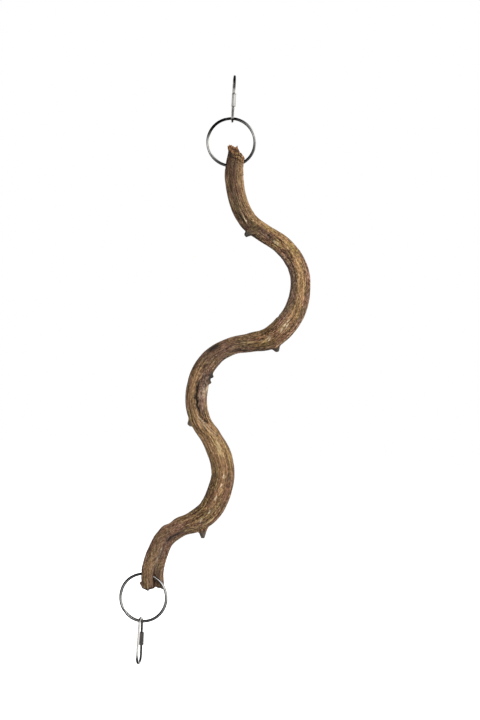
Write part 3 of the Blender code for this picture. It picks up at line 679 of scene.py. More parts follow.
class Nodes:
    """Shorthand for a material's or a world's node tree."""

    def __init__(self, tree):
        self.tree = tree

    def fill(self, node, inputs):
        """Sockets of a node filled from pairs of socket and value, or of socket and a node's output."""
        for key, value in inputs:
            socket = node.inputs[key]
            if isinstance(value, bpy.types.NodeSocket):
                self.tree.links.new(value, socket)
            elif socket.type == "RGBA":
                socket.default_value = (*value, 1.0)
            else:
                socket.default_value = value

    def add(self, kind, inputs=(), **settings):
        """New node with its settings made and its sockets filled."""
        node = self.tree.nodes.new(kind)
        for key, value in settings.items():
            setattr(node, key, value)
        self.fill(node, inputs)
        return node

    def math(self, operation, first, second=0.0, clamp=False):
        """Output of an arithmetic step on one or two values."""
        return self.add("ShaderNodeMath", ((0, first), (1, second)), operation=operation,
                        use_clamp=clamp).outputs[0]

    def chain(self, operation, *values):
        """Output of one operation carried through several values in turn."""
        result = values[0]
        for value in values[1:]:
            result = self.math(operation, result, value)
        return result

    def weigh(self, *pairs):
        """Output of a sum of values, each times its weight."""
        return self.chain("ADD", *(self.math("MULTIPLY", value, weight) for value, weight in pairs))

    def mix(self, share, first, second, blend="MIX"):
        """Output of a colour mix."""
        return self.add("ShaderNodeMix", ((0, share), (6, first), (7, second)), data_type="RGBA",
                        blend_type=blend).outputs[2]

    def ramp(self, value, stops):
        """Output of a colour ramp; stops are pairs of place and colour."""
        node = self.add("ShaderNodeValToRGB", (("Fac", value),))
        marks = node.color_ramp.elements
        while len(marks) < len(stops):
            marks.new(0.5)
        for mark, (position, color) in zip(marks, stops):
            mark.position = position
            mark.color = (*color, 1.0)
        return node.outputs["Color"]

    def spread(self, value, low, high, new_low=0.0, new_high=1.0):
        """Output of a value taken from one range to another, held at both ends."""
        return self.add("ShaderNodeMapRange", (("Value", value), ("From Min", low), ("From Max", high),
                                               ("To Min", new_low), ("To Max", new_high))).outputs["Result"]

    def mask(self, name):
        """Output of one of the piece's own number attributes."""
        return self.add("ShaderNodeAttribute", attribute_name=name).outputs["Fac"]

    def noise(self, place, across, along, detail, roughness):
        """Output of a noise at a scale in cells to the metre, given across and along the third axis."""
        mapped = self.add("ShaderNodeMapping", (("Vector", place), ("Scale", (across, across, along))))
        return self.add("ShaderNodeTexNoise", (("Vector", mapped.outputs[0]), ("Scale", 1.0),
                                               ("Detail", detail), ("Roughness", roughness))).outputs["Fac"]

    def bump(self, height, strength, distance):
        """Output of a normal raised by a height."""
        return self.add("ShaderNodeBump", (("Height", height), ("Strength", strength),
                                           ("Distance", distance))).outputs[0]


def new_material(name):
    """Material with a plain principled shader, and the shorthand for its nodes."""
    material = bpy.data.materials.new(name)
    material.use_nodes = True
    shader = material.node_tree.nodes["Principled BSDF"]
    return material, Nodes(material.node_tree), shader


def plated_steel(name, color, roughness, stain):
    """Bright plated steel: rubbed scratches, uneven roughness, faint brown stain, a piece's own painted dark
    reflections.
    """
    material, nodes, shader = new_material(name)
    place = nodes.add("ShaderNodeTexCoord").outputs["Object"]
    cloud = nodes.noise(place, *STEEL_CLOUD_NOISE)
    rubbing = nodes.noise(place, *STEEL_RUBBING_NOISE)
    speck = nodes.noise(place, *STEEL_SPECK_NOISE)
    stain_and_painted_reflection = nodes.spread(cloud, 0.46, 0.72)
    tint = nodes.mix(nodes.math("MULTIPLY", stain_and_painted_reflection, stain), color, STAIN_BROWN)
    tint = nodes.mix(nodes.spread(speck, 0.68, 0.76, 0.0, 0.35), tint, SPECK_GREY)
    # Painted dark reflections: the piece's own mask darkens the plate towards black.
    tint = nodes.mix(nodes.mask("painted_dark_reflection"), tint, PAINTED_REFLECTION_BLACK)
    rough = nodes.chain("ADD", nodes.spread(cloud, 0.3, 0.75, roughness, roughness + 0.10),
                        nodes.spread(rubbing, 0.4, 0.7, -0.02, 0.05),
                        nodes.math("MULTIPLY", nodes.mask("dull"), 0.42))
    nodes.fill(shader, (("Base Color", tint), ("Roughness", rough), ("Metallic", 1.0),
                        ("Normal", nodes.bump(rubbing, 0.10, 0.00006))))
    return material


def bark_material():
    """Vine bark: brown fibres, pale worn strips, grey weathering, dark slits, torn cuts, painted light and
    shade.

    Noises drawn out along the grain give a tone, a ramp gives the tone its brown, and each of the stem's
    masks lays its own colour over that, most of them broken up along the fibres.
    """
    material, nodes, shader = new_material("vine_bark_fibre")
    grain = nodes.add("ShaderNodeAttribute", attribute_name="grain").outputs["Vector"]
    strand = nodes.noise(grain, *STRAND_NOISE)
    fibre = nodes.noise(grain, *FIBRE_NOISE)
    fleck = nodes.noise(grain, *FLECK_NOISE)
    fine = nodes.noise(grain, *FINE_NOISE)
    cloud = nodes.noise(grain, *CLOUD_NOISE)
    hue = nodes.noise(grain, *HUE_NOISE)
    grit = nodes.noise(grain, *GRIT_NOISE)
    crumb = nodes.noise(grain, *CRUMB_NOISE)

    straight = nodes.math("MULTIPLY", nodes.mask("straight"), 0.36)
    straightened = nodes.math("MULTIPLY", straight, nodes.math("SUBTRACT", fibre, fleck))
    # The rib mask adds painted light and shade: lighter on the crests of the bark's relief.
    tone = nodes.chain("ADD", nodes.weigh((strand, 0.06), (fibre, 0.42), (fleck, 0.52)), straightened,
                       nodes.spread(nodes.mask("rib"), 0.0, 1.0, -0.035, 0.035))
    color = nodes.ramp(tone, BARK_TONES)
    reddish = nodes.mix(1.0, color, REDDISH, "MULTIPLY")
    olive = nodes.mix(1.0, color, OLIVE, "MULTIPLY")
    color = nodes.mix(nodes.spread(hue, 0.36, 0.64), reddish, olive)
    color = nodes.mix(nodes.spread(cloud, 0.48, 0.70, 0.0, 0.25), color, GREY_CLOUD)
    broken = nodes.spread(nodes.weigh((fibre, 1.0), (fleck, 0.7)), 0.72, 0.98, 0.25, 1.0)

    def lay(under, name, tint, strength):
        """Colour with a strip laid over it, broken up along the fibres."""
        share = nodes.math("MULTIPLY", nodes.mask(name), broken)
        return nodes.mix(nodes.math("MULTIPLY", share, strength, clamp=True), under, tint)

    color = nodes.mix(nodes.math("MULTIPLY", nodes.mask("tan"), 0.12, clamp=True), color, TAN_WASH)
    # The tan mask is partly painted highlight: on the right-hand edge of the upper stem and on the fold
    # crests.
    color = lay(color, "tan", WORN_TAN_AND_HIGHLIGHT, 0.88)
    color = lay(color, "ochre", OCHRE, 0.80)
    color = lay(color, "rust", RUST, 0.80)
    color = nodes.mix(1.0, color, nodes.spread(grit, 0.30, 0.70, 0.62, 1.38), "MULTIPLY")
    loose = nodes.math("SUBTRACT", nodes.mask("tan"), nodes.mask("straight"), clamp=True)
    color = nodes.mix(loose, color, nodes.spread(crumb, 0.36, 0.64, 0.58, 1.42), "MULTIPLY")
    mottle = nodes.ramp(nodes.weigh((crumb, 0.55), (fleck, 0.45)), MOTTLE_TONES)
    color = nodes.mix(nodes.math("MULTIPLY", nodes.mask("mauve"), 0.85, clamp=True), color, mottle)
    color = lay(color, "ash", ASH, 1.00)
    color = nodes.mix(nodes.spread(fleck, 0.42, 0.32, 0.0, 0.55), color, DARK_FLECK)
    dash_room = nodes.math("ADD", nodes.math("MULTIPLY", nodes.mask("tan"), 0.75), 0.12)
    dash = nodes.math("MULTIPLY", nodes.spread(fleck, 0.57, 0.66), dash_room)
    color = nodes.mix(dash, color, PALE_DASH)
    cream = nodes.math("MULTIPLY", nodes.mask("cream"), nodes.spread(fleck, 0.37, 0.50), clamp=True)
    color = nodes.mix(cream, color, CREAM)
    color = nodes.mix(nodes.math("MULTIPLY", nodes.mask("stub"), 0.85), color, STUB_GREY)
    # The deep mask is partly painted shade: in cracks, the hollow's slit, the fold valleys and the holes,
    # with a painted shadow beside the chips.
    color = nodes.mix(nodes.mask("deep"), color, SLIT_DARK)
    color = nodes.mix(nodes.mask("torn"), color, nodes.ramp(fibre, TORN_TONES))
    height = nodes.weigh((fibre, 0.50), (fleck, 0.38), (fine, 0.12))
    nodes.fill(shader, (("Base Color", color), ("Roughness", nodes.spread(fibre, 0.3, 0.7, 0.92, 0.72)),
                        ("Normal", nodes.bump(height, 0.85, 0.0010)), ("Specular IOR Level", 0.35),
                        ("Sheen Weight", 0.15), ("Sheen Roughness", 0.30), ("Sheen Tint", BARK_SHEEN)))
    return material


def lattice(turn, run, around, length, seed):
    """Random values on a lattice blended smoothly, from 0 to 1.

    The lattice has `around` places round the stem and one row of them for each `length` along it.
    """
    values = np.random.default_rng(seed).random((int(run.max() / length) + 3, around))
    across = np.mod(turn, 1.0) * around
    down = run / length
    column = across.astype(int)
    row = down.astype(int)
    a = ease(across - column)
    b = ease(down - row)
    column = column % around
    beside = (column + 1) % around
    upper = values[row, column] * (1.0 - a) + values[row, beside] * a
    lower = values[row + 1, column] * (1.0 - a) + values[row + 1, beside] * a
    return upper * (1.0 - b) + lower * b


def swing_from(angle, middle):
    """Angle from a middle in degrees, taken the short way round."""
    return np.mod(angle - middle + 180.0, 360.0) - 180.0


def wave_of(angle, middle):
    """Slow swell round the stem: one at its middle, minus one opposite."""
    return np.cos(np.radians(angle - middle))


def strip(rows, half_angle, run, angle, power=BELL):
    """Height of a strip laid along the stem: rows joined by lines, falling off as a bell to both sides."""
    table = np.array(rows, dtype=float)
    middle = np.interp(run, table[:, 0], table[:, 1])
    height = np.interp(run, table[:, 0], table[:, 2], left=0.0, right=0.0)
    return height * bell(swing_from(angle, middle), half_angle, power)


def strips(table, run, angle, power=BELL):
    """Several strips together, the strongest one at each place."""
    return np.max([strip(rows, half_angle, run, angle, power) for rows, half_angle in table], axis=0)


def smooth_course(count):
    """The stem's rows joined by a smooth curve, at equal distances along it, and those distances."""
    table = np.array(STEM_COURSE)
    padded = np.vstack((2.0 * table[0] - table[1], table, 2.0 * table[-1] - table[-2]))
    a, b, c, d = (padded[k:len(padded) - 3 + k, None, :] for k in range(4))
    t = np.linspace(0.0, 1.0, COURSE_STEPS, endpoint=False)[None, :, None]
    fine = b + 0.5 * t * (c - a + t * (2 * a - 5 * b + 4 * c - d + t * (3 * (b - c) + d - a)))
    fine = np.vstack((fine.reshape(-1, table.shape[1]), table[-1:]))
    run = distances(fine[:, :3])
    at = np.linspace(0.0, run[-1], count)
    return rows_at(fine, run, at), at


def bark_relief(run, angle):
    """Height of the bark over the stem's plain section, how deep its cracks are, and painted light on its
    raised ribs and fibres.

    Broad lumps, twisted strands and ribs with sharp crests, fine fibres and raised flakes are added; long
    cracks are taken away.  Each is a lattice stretched along the stem.
    """
    wander = lattice(angle / 360.0, run, *WANDER_CELLS) - 0.5
    turn = angle / 360.0 + WANDER_TURNS * wander + TWIST_PER_MM * run

    def crests(cells):
        """Sharp crests where a lattice passes its middle value."""
        return 1.0 - np.abs(2.0 * lattice(turn, run, *cells) - 1.0)

    broad = lattice(turn, run, *BROAD_CELLS) - 0.5
    strand = crests(STRAND_CELLS)
    rib = crests(RIB_CELLS)
    fibre = lattice(turn, run, *FIBRE_CELLS) - 0.5
    flake = ease((lattice(turn, run, *FLAKE_CELLS) - FLAKE_FROM) / FLAKE_FADE)
    crack = ease((crests(CRACK_CELLS) - CRACK_FROM) / CRACK_FADE)
    height = (BROAD_HEIGHT * broad + STRAND_HEIGHT * (strand - CREST_LEVEL) + RIB_HEIGHT * (rib - CREST_LEVEL)
              + FIBRE_HEIGHT * fibre + FLAKE_HEIGHT * flake - CRACK_DEPTH * crack)
    # The third value is painted light and shade: lighter where the ribs and fibres stand up.
    return height, crack, np.clip(RIB_PAINTED_LIGHT * rib + FIBRE_PAINTED_LIGHT * fibre + BASE_TONE, 0.0, 1.0)


def stem_section(course, run, angle):
    """Radius of the stem's section: a leaning ellipse with long hollows pressed into it."""
    from_end = run[-1] - run
    share = ease(1.0 - from_end / LOBE_FROM_END)
    turn = np.radians(angle) - np.radians(LOBE_TILT * share)[:, None]
    half_width = (STEM_WIDTH * course[:, 3] / 2.0)[:, None]
    half_depth = (STEM_WIDTH * course[:, 4] / 2.0)[:, None]
    radius = 1.0 / np.sqrt((np.cos(turn) / half_width) ** 2 + (np.sin(turn) / half_depth) ** 2)
    knots = np.array(HOLLOWS)[::-1]
    swing = swing_from(angle, np.interp(from_end, knots[:, 0], knots[:, 1])[:, None])
    depth = np.interp(from_end, knots[:, 0], knots[:, 2])[:, None]
    spread = np.where(swing < 0.0, HOLLOW_SPREAD_RIGHT, HOLLOW_SPREAD_LEFT)
    return radius * (1.0 - depth * bell(swing, spread))


def top_cut(u, v):
    """How far below the end point the torn top lies: its edge drops to the right and leans to the front."""
    lean = TOP_LEAN - TOP_LEAN_LOSS * ease((u - TOP_LEAN_FROM) / TOP_LEAN_FADE)
    return follow(TOP_EDGE, u) + lean * v


def bottom_cut(u, v):
    """How far beyond the end point the broken bottom lies: lowest left of the middle, chipped at the left."""
    return follow(BOTTOM_EDGE, u) + BOTTOM_LEAN * v


def draw_shoots(points, hole):
    """Grid drawn out to the stubs of the side shoots, and a mask of the stubs.

    A point near a shoot's line moves along it towards the tip, the further the nearer it is to the line.
    """
    stub = np.zeros(points.shape[:2])
    for root_x, root_z, tip_x, tip_z in SHOOTS:
        root = hole + np.array((root_x, SHOOT_ROOT_BACK, root_z))
        tip = hole + np.array((tip_x, SHOOT_TIP_BACK, tip_z))
        reach = np.linalg.norm(tip - root)
        aim = (tip - root) / reach
        ahead = (points - root) @ aim
        aside = np.linalg.norm(points - root - ahead[..., None] * aim, axis=-1)
        nearness = np.clip((SHOOT_ROOT_RADIUS - aside) / (SHOOT_ROOT_RADIUS - SHOOT_TIP_RADIUS), 0.0, 1.0)
        lift = nearness ** SHOOT_POWER * (ahead > 0.0)
        points = points + (np.clip(reach - ahead, 0.0, None) * lift)[..., None] * aim
        stub = np.maximum(stub, ease((lift - STUB_FROM) / STUB_FADE))
    return points, stub


def wobbling(angle, down):
    """Angles that wander a little to both sides, so that a line laid by them isn't straight."""
    around = angle / 360.0
    wobble = angle + WOBBLE_ANGLE * (lattice(around, down, *WOBBLE_CELLS) - 0.5)
    return wobble + FINE_WOBBLE_ANGLE * (lattice(around, down, *FINE_WOBBLE_CELLS) - 0.5)


def top_folds(angle, down):
    """How far the bark is folded round the top end, and the wave of its folds."""
    room = (ease((down - FOLD_START) / FOLD_START_FADE) * ease((FOLD_STOP - down) / FOLD_STOP_FADE)
            * bell(swing_from(angle, FOLD_MIDDLE), FOLD_SPREAD))
    run = down + FOLD_SLOPE * wave_of(angle, FOLD_SLOPE_ANGLE) + FOLD_SHIFT
    return room, np.sin(2.0 * math.pi * run / FOLD_PERIOD)


def ragged_band(distance, fray, length, raggedness, fade):
    """One within a length of an end of the stem, with an edge that the fray makes ragged."""
    return ease((length - distance + raggedness * fray) / fade)


def colour_masks(angle, down, wobble, fray, crack):
    """Masks of the bark's colours: strips, painted shade in cracks, painted light on the top's folds, bands
    at both ends.
    """
    from_end = down[-1] - down
    fold_room, fold = top_folds(angle, down)
    fold_painted_shade = fold_room * (ease((FOLD_EDGE - fold) / FOLD_EDGE_FADE)
                             - FOLD_PAINTED_HIGHLIGHT * ease((fold + FOLD_EDGE) / FOLD_EDGE_FADE))
    fold_painted_highlight = FOLD_HIGHLIGHT_TAN * fold_room * ease((fold + FOLD_TAN_EDGE) / FOLD_TAN_FADE)
    fringe = (ragged_band(from_end, fray, *FRINGE_BAND)
              * inside(swing_from(angle, FRINGE_ANGLE), FRINGE_HALF, FRINGE_HALF_FADE))
    end_dark = DARK_BAND_STRENGTH * ragged_band(from_end, fray, *DARK_BAND)
    top_torn = TORN_BAND_STRENGTH * ragged_band(down, fray, *TORN_BAND) + FOLD_TORN * fold_room
    dark = CRACK_PAINTED_SHADE * crack + strips(DARK_STRIPS, down, wobble)
    cream_angle = (1.0 - CREAM_WOBBLE) * angle + CREAM_WOBBLE * wobble
    return {
        # Tan: pale strips, with painted highlight on the right-hand edge of the upper stem and on the fold
        # crests.
        "tan": np.maximum(strips(TAN_STRIPS, down, angle, FLAT_TOPPED), fold_painted_highlight),
        "rust": strips(RUST_STRIPS, down, angle),
        "mauve": strips(MAUVE_STRIPS, down, angle),
        "ash": strips(ASH_STRIPS, down, angle),
        "cream": strips(CREAM_STRIPS, down, cream_angle, FLAT_TOPPED),
        "ochre": strips(OCHRE_STRIPS, down, angle),
        "straight": strips(STRAIGHT_STRIPS, down, angle),
        # Deep: darker bark and dark bands at the ends, with painted shade in the cracks, the hollow's slit
        # and the fold valleys.
        "deep": np.clip(dark + fold_painted_shade + end_dark + fringe, 0.0, DARKEST),
        "torn": np.clip(top_torn + strips(TORN_STRIPS, down, angle, FLAT_TOPPED), 0.0, 1.0),
    }


def stem_surface(hole):
    """Grid of the barked stem with its cut ends, the grain's place at each point, and its masks.

    A section is carried down the course; the bark's relief, seams, lumps and folds are added to its radius,
    the rims slide along the stem to their torn edges, the shoots are drawn out along their own lines, and
    each end is closed by rows that shrink to the middle of the cut.
    """
    course, run = smooth_course(STEM_ROWS)
    center = hole + course[:, :3]
    heading = unit(np.gradient(center, axis=0))
    right = unit(np.cross((0.0, -1.0, 0.0), heading))
    face = np.cross(heading, right)
    angle = np.broadcast_to(np.arange(STEM_COLUMNS) * 360.0 / STEM_COLUMNS, (STEM_ROWS, STEM_COLUMNS))
    around = angle / 360.0
    down = np.broadcast_to(run[:, None], angle.shape)
    from_end = run[-1] - down

    relief, crack, rib = bark_relief(down, angle)
    crumbs = np.minimum(strips(MAUVE_STRIPS[:1], down, angle), 1.0)
    relief = relief + CRUMB_HEIGHT * crumbs * (lattice(around, down, *CRUMB_CELLS) - 0.5)
    wobble = wobbling(angle, down)
    seam = np.sum([strip(rows, half_angle, down, wobble) for rows, half_angle in SEAMS], axis=0)
    lump = np.sum([height * bell(down - place, half_run) * bell(swing_from(angle, middle), half_angle)
                   for place, middle, height, half_run, half_angle in LUMPS], axis=0)
    ring_room = (ease((RING_ROOM_LENGTH - from_end) / RING_ROOM_FADE)
                 * inside(swing_from(angle, RING_ROOM_ANGLE), RING_ROOM_HALF, RING_ROOM_HALF_FADE))
    relief = np.minimum(relief, relief * (1.0 - ring_room) - RING_ROOM_DEPTH * ring_room)
    fold_room, fold = top_folds(angle, down)
    relief = relief * (1.0 - FOLD_SMOOTHING * fold_room)
    radius = stem_section(course, run, angle) + relief + seam + lump + FOLD_HEIGHT * fold_room * fold

    turn = np.radians(angle)
    u = radius * np.cos(turn)
    v = radius * np.sin(turn)
    fray = lattice(around, down, *FRAY_CELLS) - 0.5
    fray = fray + LONG_FRAY_SHARE * (lattice(around, down, *LONG_FRAY_CELLS) - 0.5)
    top_share = np.clip(1.0 - down / CUT_REACH, 0.0, 1.0)
    end_share = np.clip(1.0 - from_end / CUT_REACH, 0.0, 1.0)
    top_rim = top_share ** FRAY_POWER
    slide = top_share * top_cut(u, v) + end_share * bottom_cut(u, v)
    slide += fray * (TOP_FRAY * top_rim + BOTTOM_FRAY * end_share ** FRAY_POWER)
    slide -= SPLINTER_HEIGHT * top_rim * bell(swing_from(angle, SPLINTER_ANGLE), SPLINTER_SPREAD)
    points = (center[:, None, :] + u[..., None] * right[:, None, :] + v[..., None] * face[:, None, :]
              + slide[..., None] * heading[:, None, :])
    points, stub = draw_shoots(points, hole)

    masks = {**colour_masks(angle, down, wobble, fray, crack), "rib": rib, "stub": stub}
    grain = np.stack((u, v, down), axis=-1)

    shares = np.array(CAP_SHARES)[:, None]
    count = len(shares)
    sink = follow(CAP_SINK, shares)
    cap_run = np.broadcast_to(CAP_RUN * shares, (count, STEM_COLUMNS))
    chips = CHIP_HEIGHT * (lattice(around[:count], cap_run, *CHIP_CELLS) - 0.5)
    caps = []
    for row, cut, side in ((0, top_cut, 1.0), (STEM_ROWS - 1, bottom_cut, -1.0)):
        cap_u = shares * u[row]
        cap_v = shares * v[row]
        rim = TOP_FRAY * fray[row] * shares ** FRAY_POWER
        depth = cut(cap_u, cap_v) + side * sink + chips * shares + rim
        caps.append(center[row] + cap_u[..., None] * right[row] + cap_v[..., None] * face[row]
                    + depth[..., None] * heading[row])
    points = np.concatenate((caps[0][::-1], points, caps[1]))
    cap_shares = shares[..., None]
    grain = np.concatenate((cap_shares[::-1] * grain[:1], grain, cap_shares * grain[-1:]))
    masks = {name: np.pad(mask, ((count, count), (0, 0)), mode="edge") for name, mask in masks.items()}
    pith = ease((PITH_SHARE - shares) / PITH_FADE)
    torn_rim = ease((shares - TOP_RIM_SHARE) / TOP_RIM_FADE)
    top_cut_dark = TOP_CUT_DARK * ease((TOP_CUT_SHARE - shares) / TOP_RIM_FADE)
    masks["torn"][:count] = (TOP_CUT_TORN + TOP_RIM_TORN * torn_rim)[::-1]
    masks["torn"][-count:] = BOTTOM_CUT_TORN
    masks["deep"][:count] = np.maximum(TOP_PITH_DARK * pith, top_cut_dark)[::-1]
    masks["deep"][-count:] = np.maximum(BOTTOM_PITH_DARK * pith, BOTTOM_CUT_DARK)
    return points, grain, masks


def hole_bar(name, middle, axis, radius, length, mask_names):
    """Bar that drills a hole: a ring of points carried along the hole's axis."""
    turn = full_turn(HOLE_COLUMNS)
    side = unit(np.cross(axis, UP))
    ring = radius * (np.cos(turn)[:, None] * side + np.sin(turn)[:, None] * np.cross(axis, side))
    steps = np.linspace(-length / 2.0, length / 2.0, HOLE_ROWS)
    mesh = put_mesh(name, middle + steps[:, None, None] * axis + ring[None, :, :])
    count = len(mesh.vertices)
    for mask in mask_names:
        put_attribute(mesh, mask, np.full(count, HOLE_MASKS.get(mask, 0.0)))
    place = np.empty(count * 3, dtype=np.float32)
    mesh.vertices.foreach_get("co", place)
    put_attribute(mesh, "grain", place.reshape(-1, 3))
    bar = bpy.data.objects.new(name, mesh)
    bpy.context.scene.collection.objects.link(bar)
    return bar


def vine_stem(material):
    """The barked stem, with the two drilled holes that the rings go through."""
    hole = place_of(joints["perch_swing"])
    points, grain, masks = stem_surface(hole)
    mesh = put_mesh("vine_stem", points)

    def with_poles(values):
        """Values of a grid with the two end points' values put after them."""
        return np.concatenate((values.reshape(-1, *values.shape[2:]), values[0].mean(axis=0)[None],
                               values[-1].mean(axis=0)[None]))

    put_attribute(mesh, "grain", with_poles(grain) * MM)
    for name, mask in masks.items():
        put_attribute(mesh, name, with_poles(mask))
    blank = bpy.data.objects.new("vine_blank", mesh)
    bpy.context.scene.collection.objects.link(blank)
    upper_axis = np.array(joints["perch_swing"]["axis"])
    lower_axis = np.array(joints["lower_ring_swing"]["axis"])
    lower_middle = place_of(joints["lower_ring_swing"]) + LOWER_HOLE_SHIFT * lower_axis
    bars = (
        hole_bar("upper_hole", hole, upper_axis, UPPER_HOLE_RADIUS, UPPER_HOLE_LENGTH, masks),
        hole_bar("lower_hole", lower_middle, lower_axis, LOWER_HOLE_RADIUS, LOWER_HOLE_LENGTH, masks),
    )
    for bar in bars:
        step = blank.modifiers.new(bar.name, "BOOLEAN")
        step.object = bar
        step.operation = "DIFFERENCE"
        step.solver = "EXACT"
    graph = bpy.context.evaluated_depsgraph_get()
    drilled = bpy.data.meshes.new_from_object(blank.evaluated_get(graph), preserve_all_data_layers=True,
                                              depsgraph=graph)
    for helper in (blank, *bars):
        bpy.data.objects.remove(helper, do_unlink=True)
    return put_piece("vine_stem", drilled, material, "vine")


def split_ring(name, body, split, painted_dark_reflection, lean, back, material):
    """Split ring: a flat rounded section carried round two turns, stepping from one turn to the other.

    Its painted dark reflection follows a table round the ring, and where it leans it gathers on the left of
    the wire.
    """
    across = np.cross(back, UP)
    trim = RING_STEP_ANGLE / 2.0
    angle = np.linspace(split + trim, split + 720.0 - trim, RING_ROWS)
    coil = (RING_THICKNESS - RING_GAP) / 2.0
    lift = (coil + RING_GAP) * (ease((angle - split - 360.0 + trim) / RING_STEP_ANGLE) - 0.5)
    out = np.cos(np.radians(angle))[:, None] * across + np.sin(np.radians(angle))[:, None] * UP
    turn = full_turn(RING_COLUMNS)
    power = 2.0 / RING_ROUNDING
    radial = RING_BAND / 2.0 * np.sign(np.cos(turn)) * np.abs(np.cos(turn)) ** power
    axial = coil / 2.0 * np.sign(np.sin(turn)) * np.abs(np.sin(turn)) ** power
    radius = (RING_DIAMETER - RING_BAND) / 2.0 + radial
    points = (middle_of(body) + radius[None, :, None] * out[:, None, :]
              + (lift[:, None] + axial[None, :])[..., None] * back)
    mesh = put_mesh(name, points)
    # Painted dark reflection round the ring, gathered on the left of the wire where it leans.
    stain_and_painted_reflection = follow(painted_dark_reflection, np.mod(angle, 360.0))
    leaning = lean * 4.0 * stain_and_painted_reflection * (1.0 - stain_and_painted_reflection) * np.cos(np.radians(angle))
    stain_and_painted_reflection = stain_and_painted_reflection[:, None] - leaning[:, None] * np.cos(turn)[None, :]
    put_wire_attribute(mesh, "painted_dark_reflection", np.clip(stain_and_painted_reflection, 0.0, 1.0))
    return put_piece(name, mesh, material, body)


def link_line():
    """Middle line of a screw link in its own plane (back, up), its distances, and its gate's direction."""
    wide = LINK_WIDE_RADIUS + LINK_WIRE / 2.0
    narrow = LINK_NARROW_RADIUS + LINK_WIRE / 2.0
    wide_center = np.array((0.0, -LINK_WIDE_RADIUS))
    narrow_center = np.array((0.0, 2.0 * LINK_WIRE - LINK_LENGTH + LINK_NARROW_RADIUS))
    lean = math.asin((wide - narrow) / (wide_center[1] - narrow_center[1]))
    normal = np.array((-math.cos(lean), -math.sin(lean)))
    foot = narrow_center + narrow * normal
    gate = unit(wide_center + wide * normal - foot)
    nut_middle = foot + NUT_FROM_NARROW_BOW * gate

    def bow(center, radius, start, stop):
        """Points of a bow, angles from the back towards the top."""
        angle = np.linspace(start, stop, BOW_POINTS)
        return center + radius * np.stack((np.cos(angle), np.sin(angle)), axis=1)

    line = np.vstack((
        nut_middle + GATE_GAP / 2.0 * gate,
        bow(wide_center, wide, math.pi + lean, -lean),
        bow(narrow_center, narrow, -lean, -math.pi + lean),
        nut_middle - GATE_GAP / 2.0 * gate,
    ))
    return line, distances(line), gate


def screw_link(name, body, mount, flip, painted_dark_reflection, back, material):
    """Screw link: round wire carried along the link's line, with a thread cut round it at the gate."""
    across = np.cross(back, UP)
    line, run, _ = link_line()
    fine = THREAD_PITCH / THREAD_ROWS_PER_TURN
    total = run[-1]
    at = np.concatenate((
        np.arange(0.0, THREAD_NEAR_WIDE_BOW, fine),
        np.linspace(THREAD_NEAR_WIDE_BOW, total - THREAD_NEAR_NARROW_BOW, PLAIN_WIRE_ROWS),
        total - np.arange(THREAD_NEAR_NARROW_BOW - fine, 0.0, -fine),
        (total,),
    ))
    flat = rows_at(line, run, at)
    points = place_of(mounts[mount]) + flip * (flat[:, :1] * back + flat[:, 1:] * UP)
    heading = unit(np.gradient(points, axis=0))
    normal = np.cross(heading, across)
    turn = full_turn(LINK_COLUMNS)
    threaded = np.maximum(ease((THREAD_NEAR_WIDE_BOW - at) / THREAD_FADE),
                          ease((THREAD_NEAR_NARROW_BOW - total + at) / THREAD_FADE))
    wave = 0.5 - 0.5 * np.cos(2.0 * math.pi * at[:, None] / THREAD_PITCH - turn[None, :])
    end = np.minimum(at, total - at)[:, None]
    radius = LINK_WIRE / 2.0 - THREAD_DEPTH * threaded[:, None] * wave
    radius = radius - WIRE_END_BEVEL * np.clip(1.0 - end / WIRE_END_REACH, 0.0, 1.0)
    spoke = np.cos(turn)[None, :, None] * across + np.sin(turn)[None, :, None] * normal[:, None, :]
    mesh = put_mesh(name, points[:, None, :] + radius[..., None] * spoke)
    # Painted dark reflection along the wire; the thread is duller.
    for mask, values in (("painted_dark_reflection", follow(painted_dark_reflection, at)), ("dull", threaded)):
        put_wire_attribute(mesh, mask, np.broadcast_to(values[:, None], radius.shape))
    return put_piece(name, mesh, material, body)


def hexagon_nut(name, body, flip, twist, back, material):
    """Long hexagon nut: its corners are turned down to a cone at each end, and its bore is smooth."""
    _, _, gate = link_line()
    across = np.cross(back, UP)
    axis = flip * (gate[0] * back + gate[1] * UP)
    half = NUT_LENGTH / 2.0
    bore = LINK_WIRE / 2.0 + NUT_FIT
    flat = LINK_WIRE / 2.0 + NUT_WALL
    lip = (bore + flat) / 2.0
    turn = full_turn(NUT_COLUMNS)
    hexagon = flat / np.cos(np.mod(turn + math.radians(twist), math.pi / 3.0) - math.pi / 6.0)
    hexagon = np.minimum(hexagon, flat * NUT_CORNER_SHARE)
    from_end = np.array(NUT_CONE_STEPS)
    cone = lip + NUT_CONE_LIP + NUT_CONE_SWELL * np.sqrt(from_end)
    outer = np.minimum(hexagon[None, :], cone[:, None])
    inner = np.broadcast_to(np.array((bore + NUT_BORE_BEVEL, bore, bore))[:, None], (3, NUT_COLUMNS))
    radius = np.concatenate((outer, outer[::-1], inner, inner[::-1]))
    inner_height = np.array((half, half - NUT_BEVEL_REACH, NUT_BORE_ROW))
    height = np.concatenate((from_end - half, half - from_end[::-1], inner_height, -inner_height[::-1]))
    spoke = np.cos(turn)[:, None] * across + np.sin(turn)[:, None] * np.cross(axis, across)
    points = middle_of(body) + height[:, None, None] * axis + radius[..., None] * spoke[None, :, :]
    mesh = put_mesh(name, points, loop=True)
    # Painted dark reflections on the faces turned to the left and right and towards both ends.
    edges = NUT_SIDE_PAINTED_REFLECTION * ease((np.abs(np.cos(turn)) - NUT_EDGE_FROM) / NUT_EDGE_FADE)[None, :]
    rims = NUT_RIM_PAINTED_REFLECTION * ease((np.abs(height) - half + NUT_RIM_REACH) / NUT_RIM_FADE)[:, None]
    put_attribute(mesh, "painted_dark_reflection", (edges + rims).ravel())
    return put_piece(name, mesh, material, body)


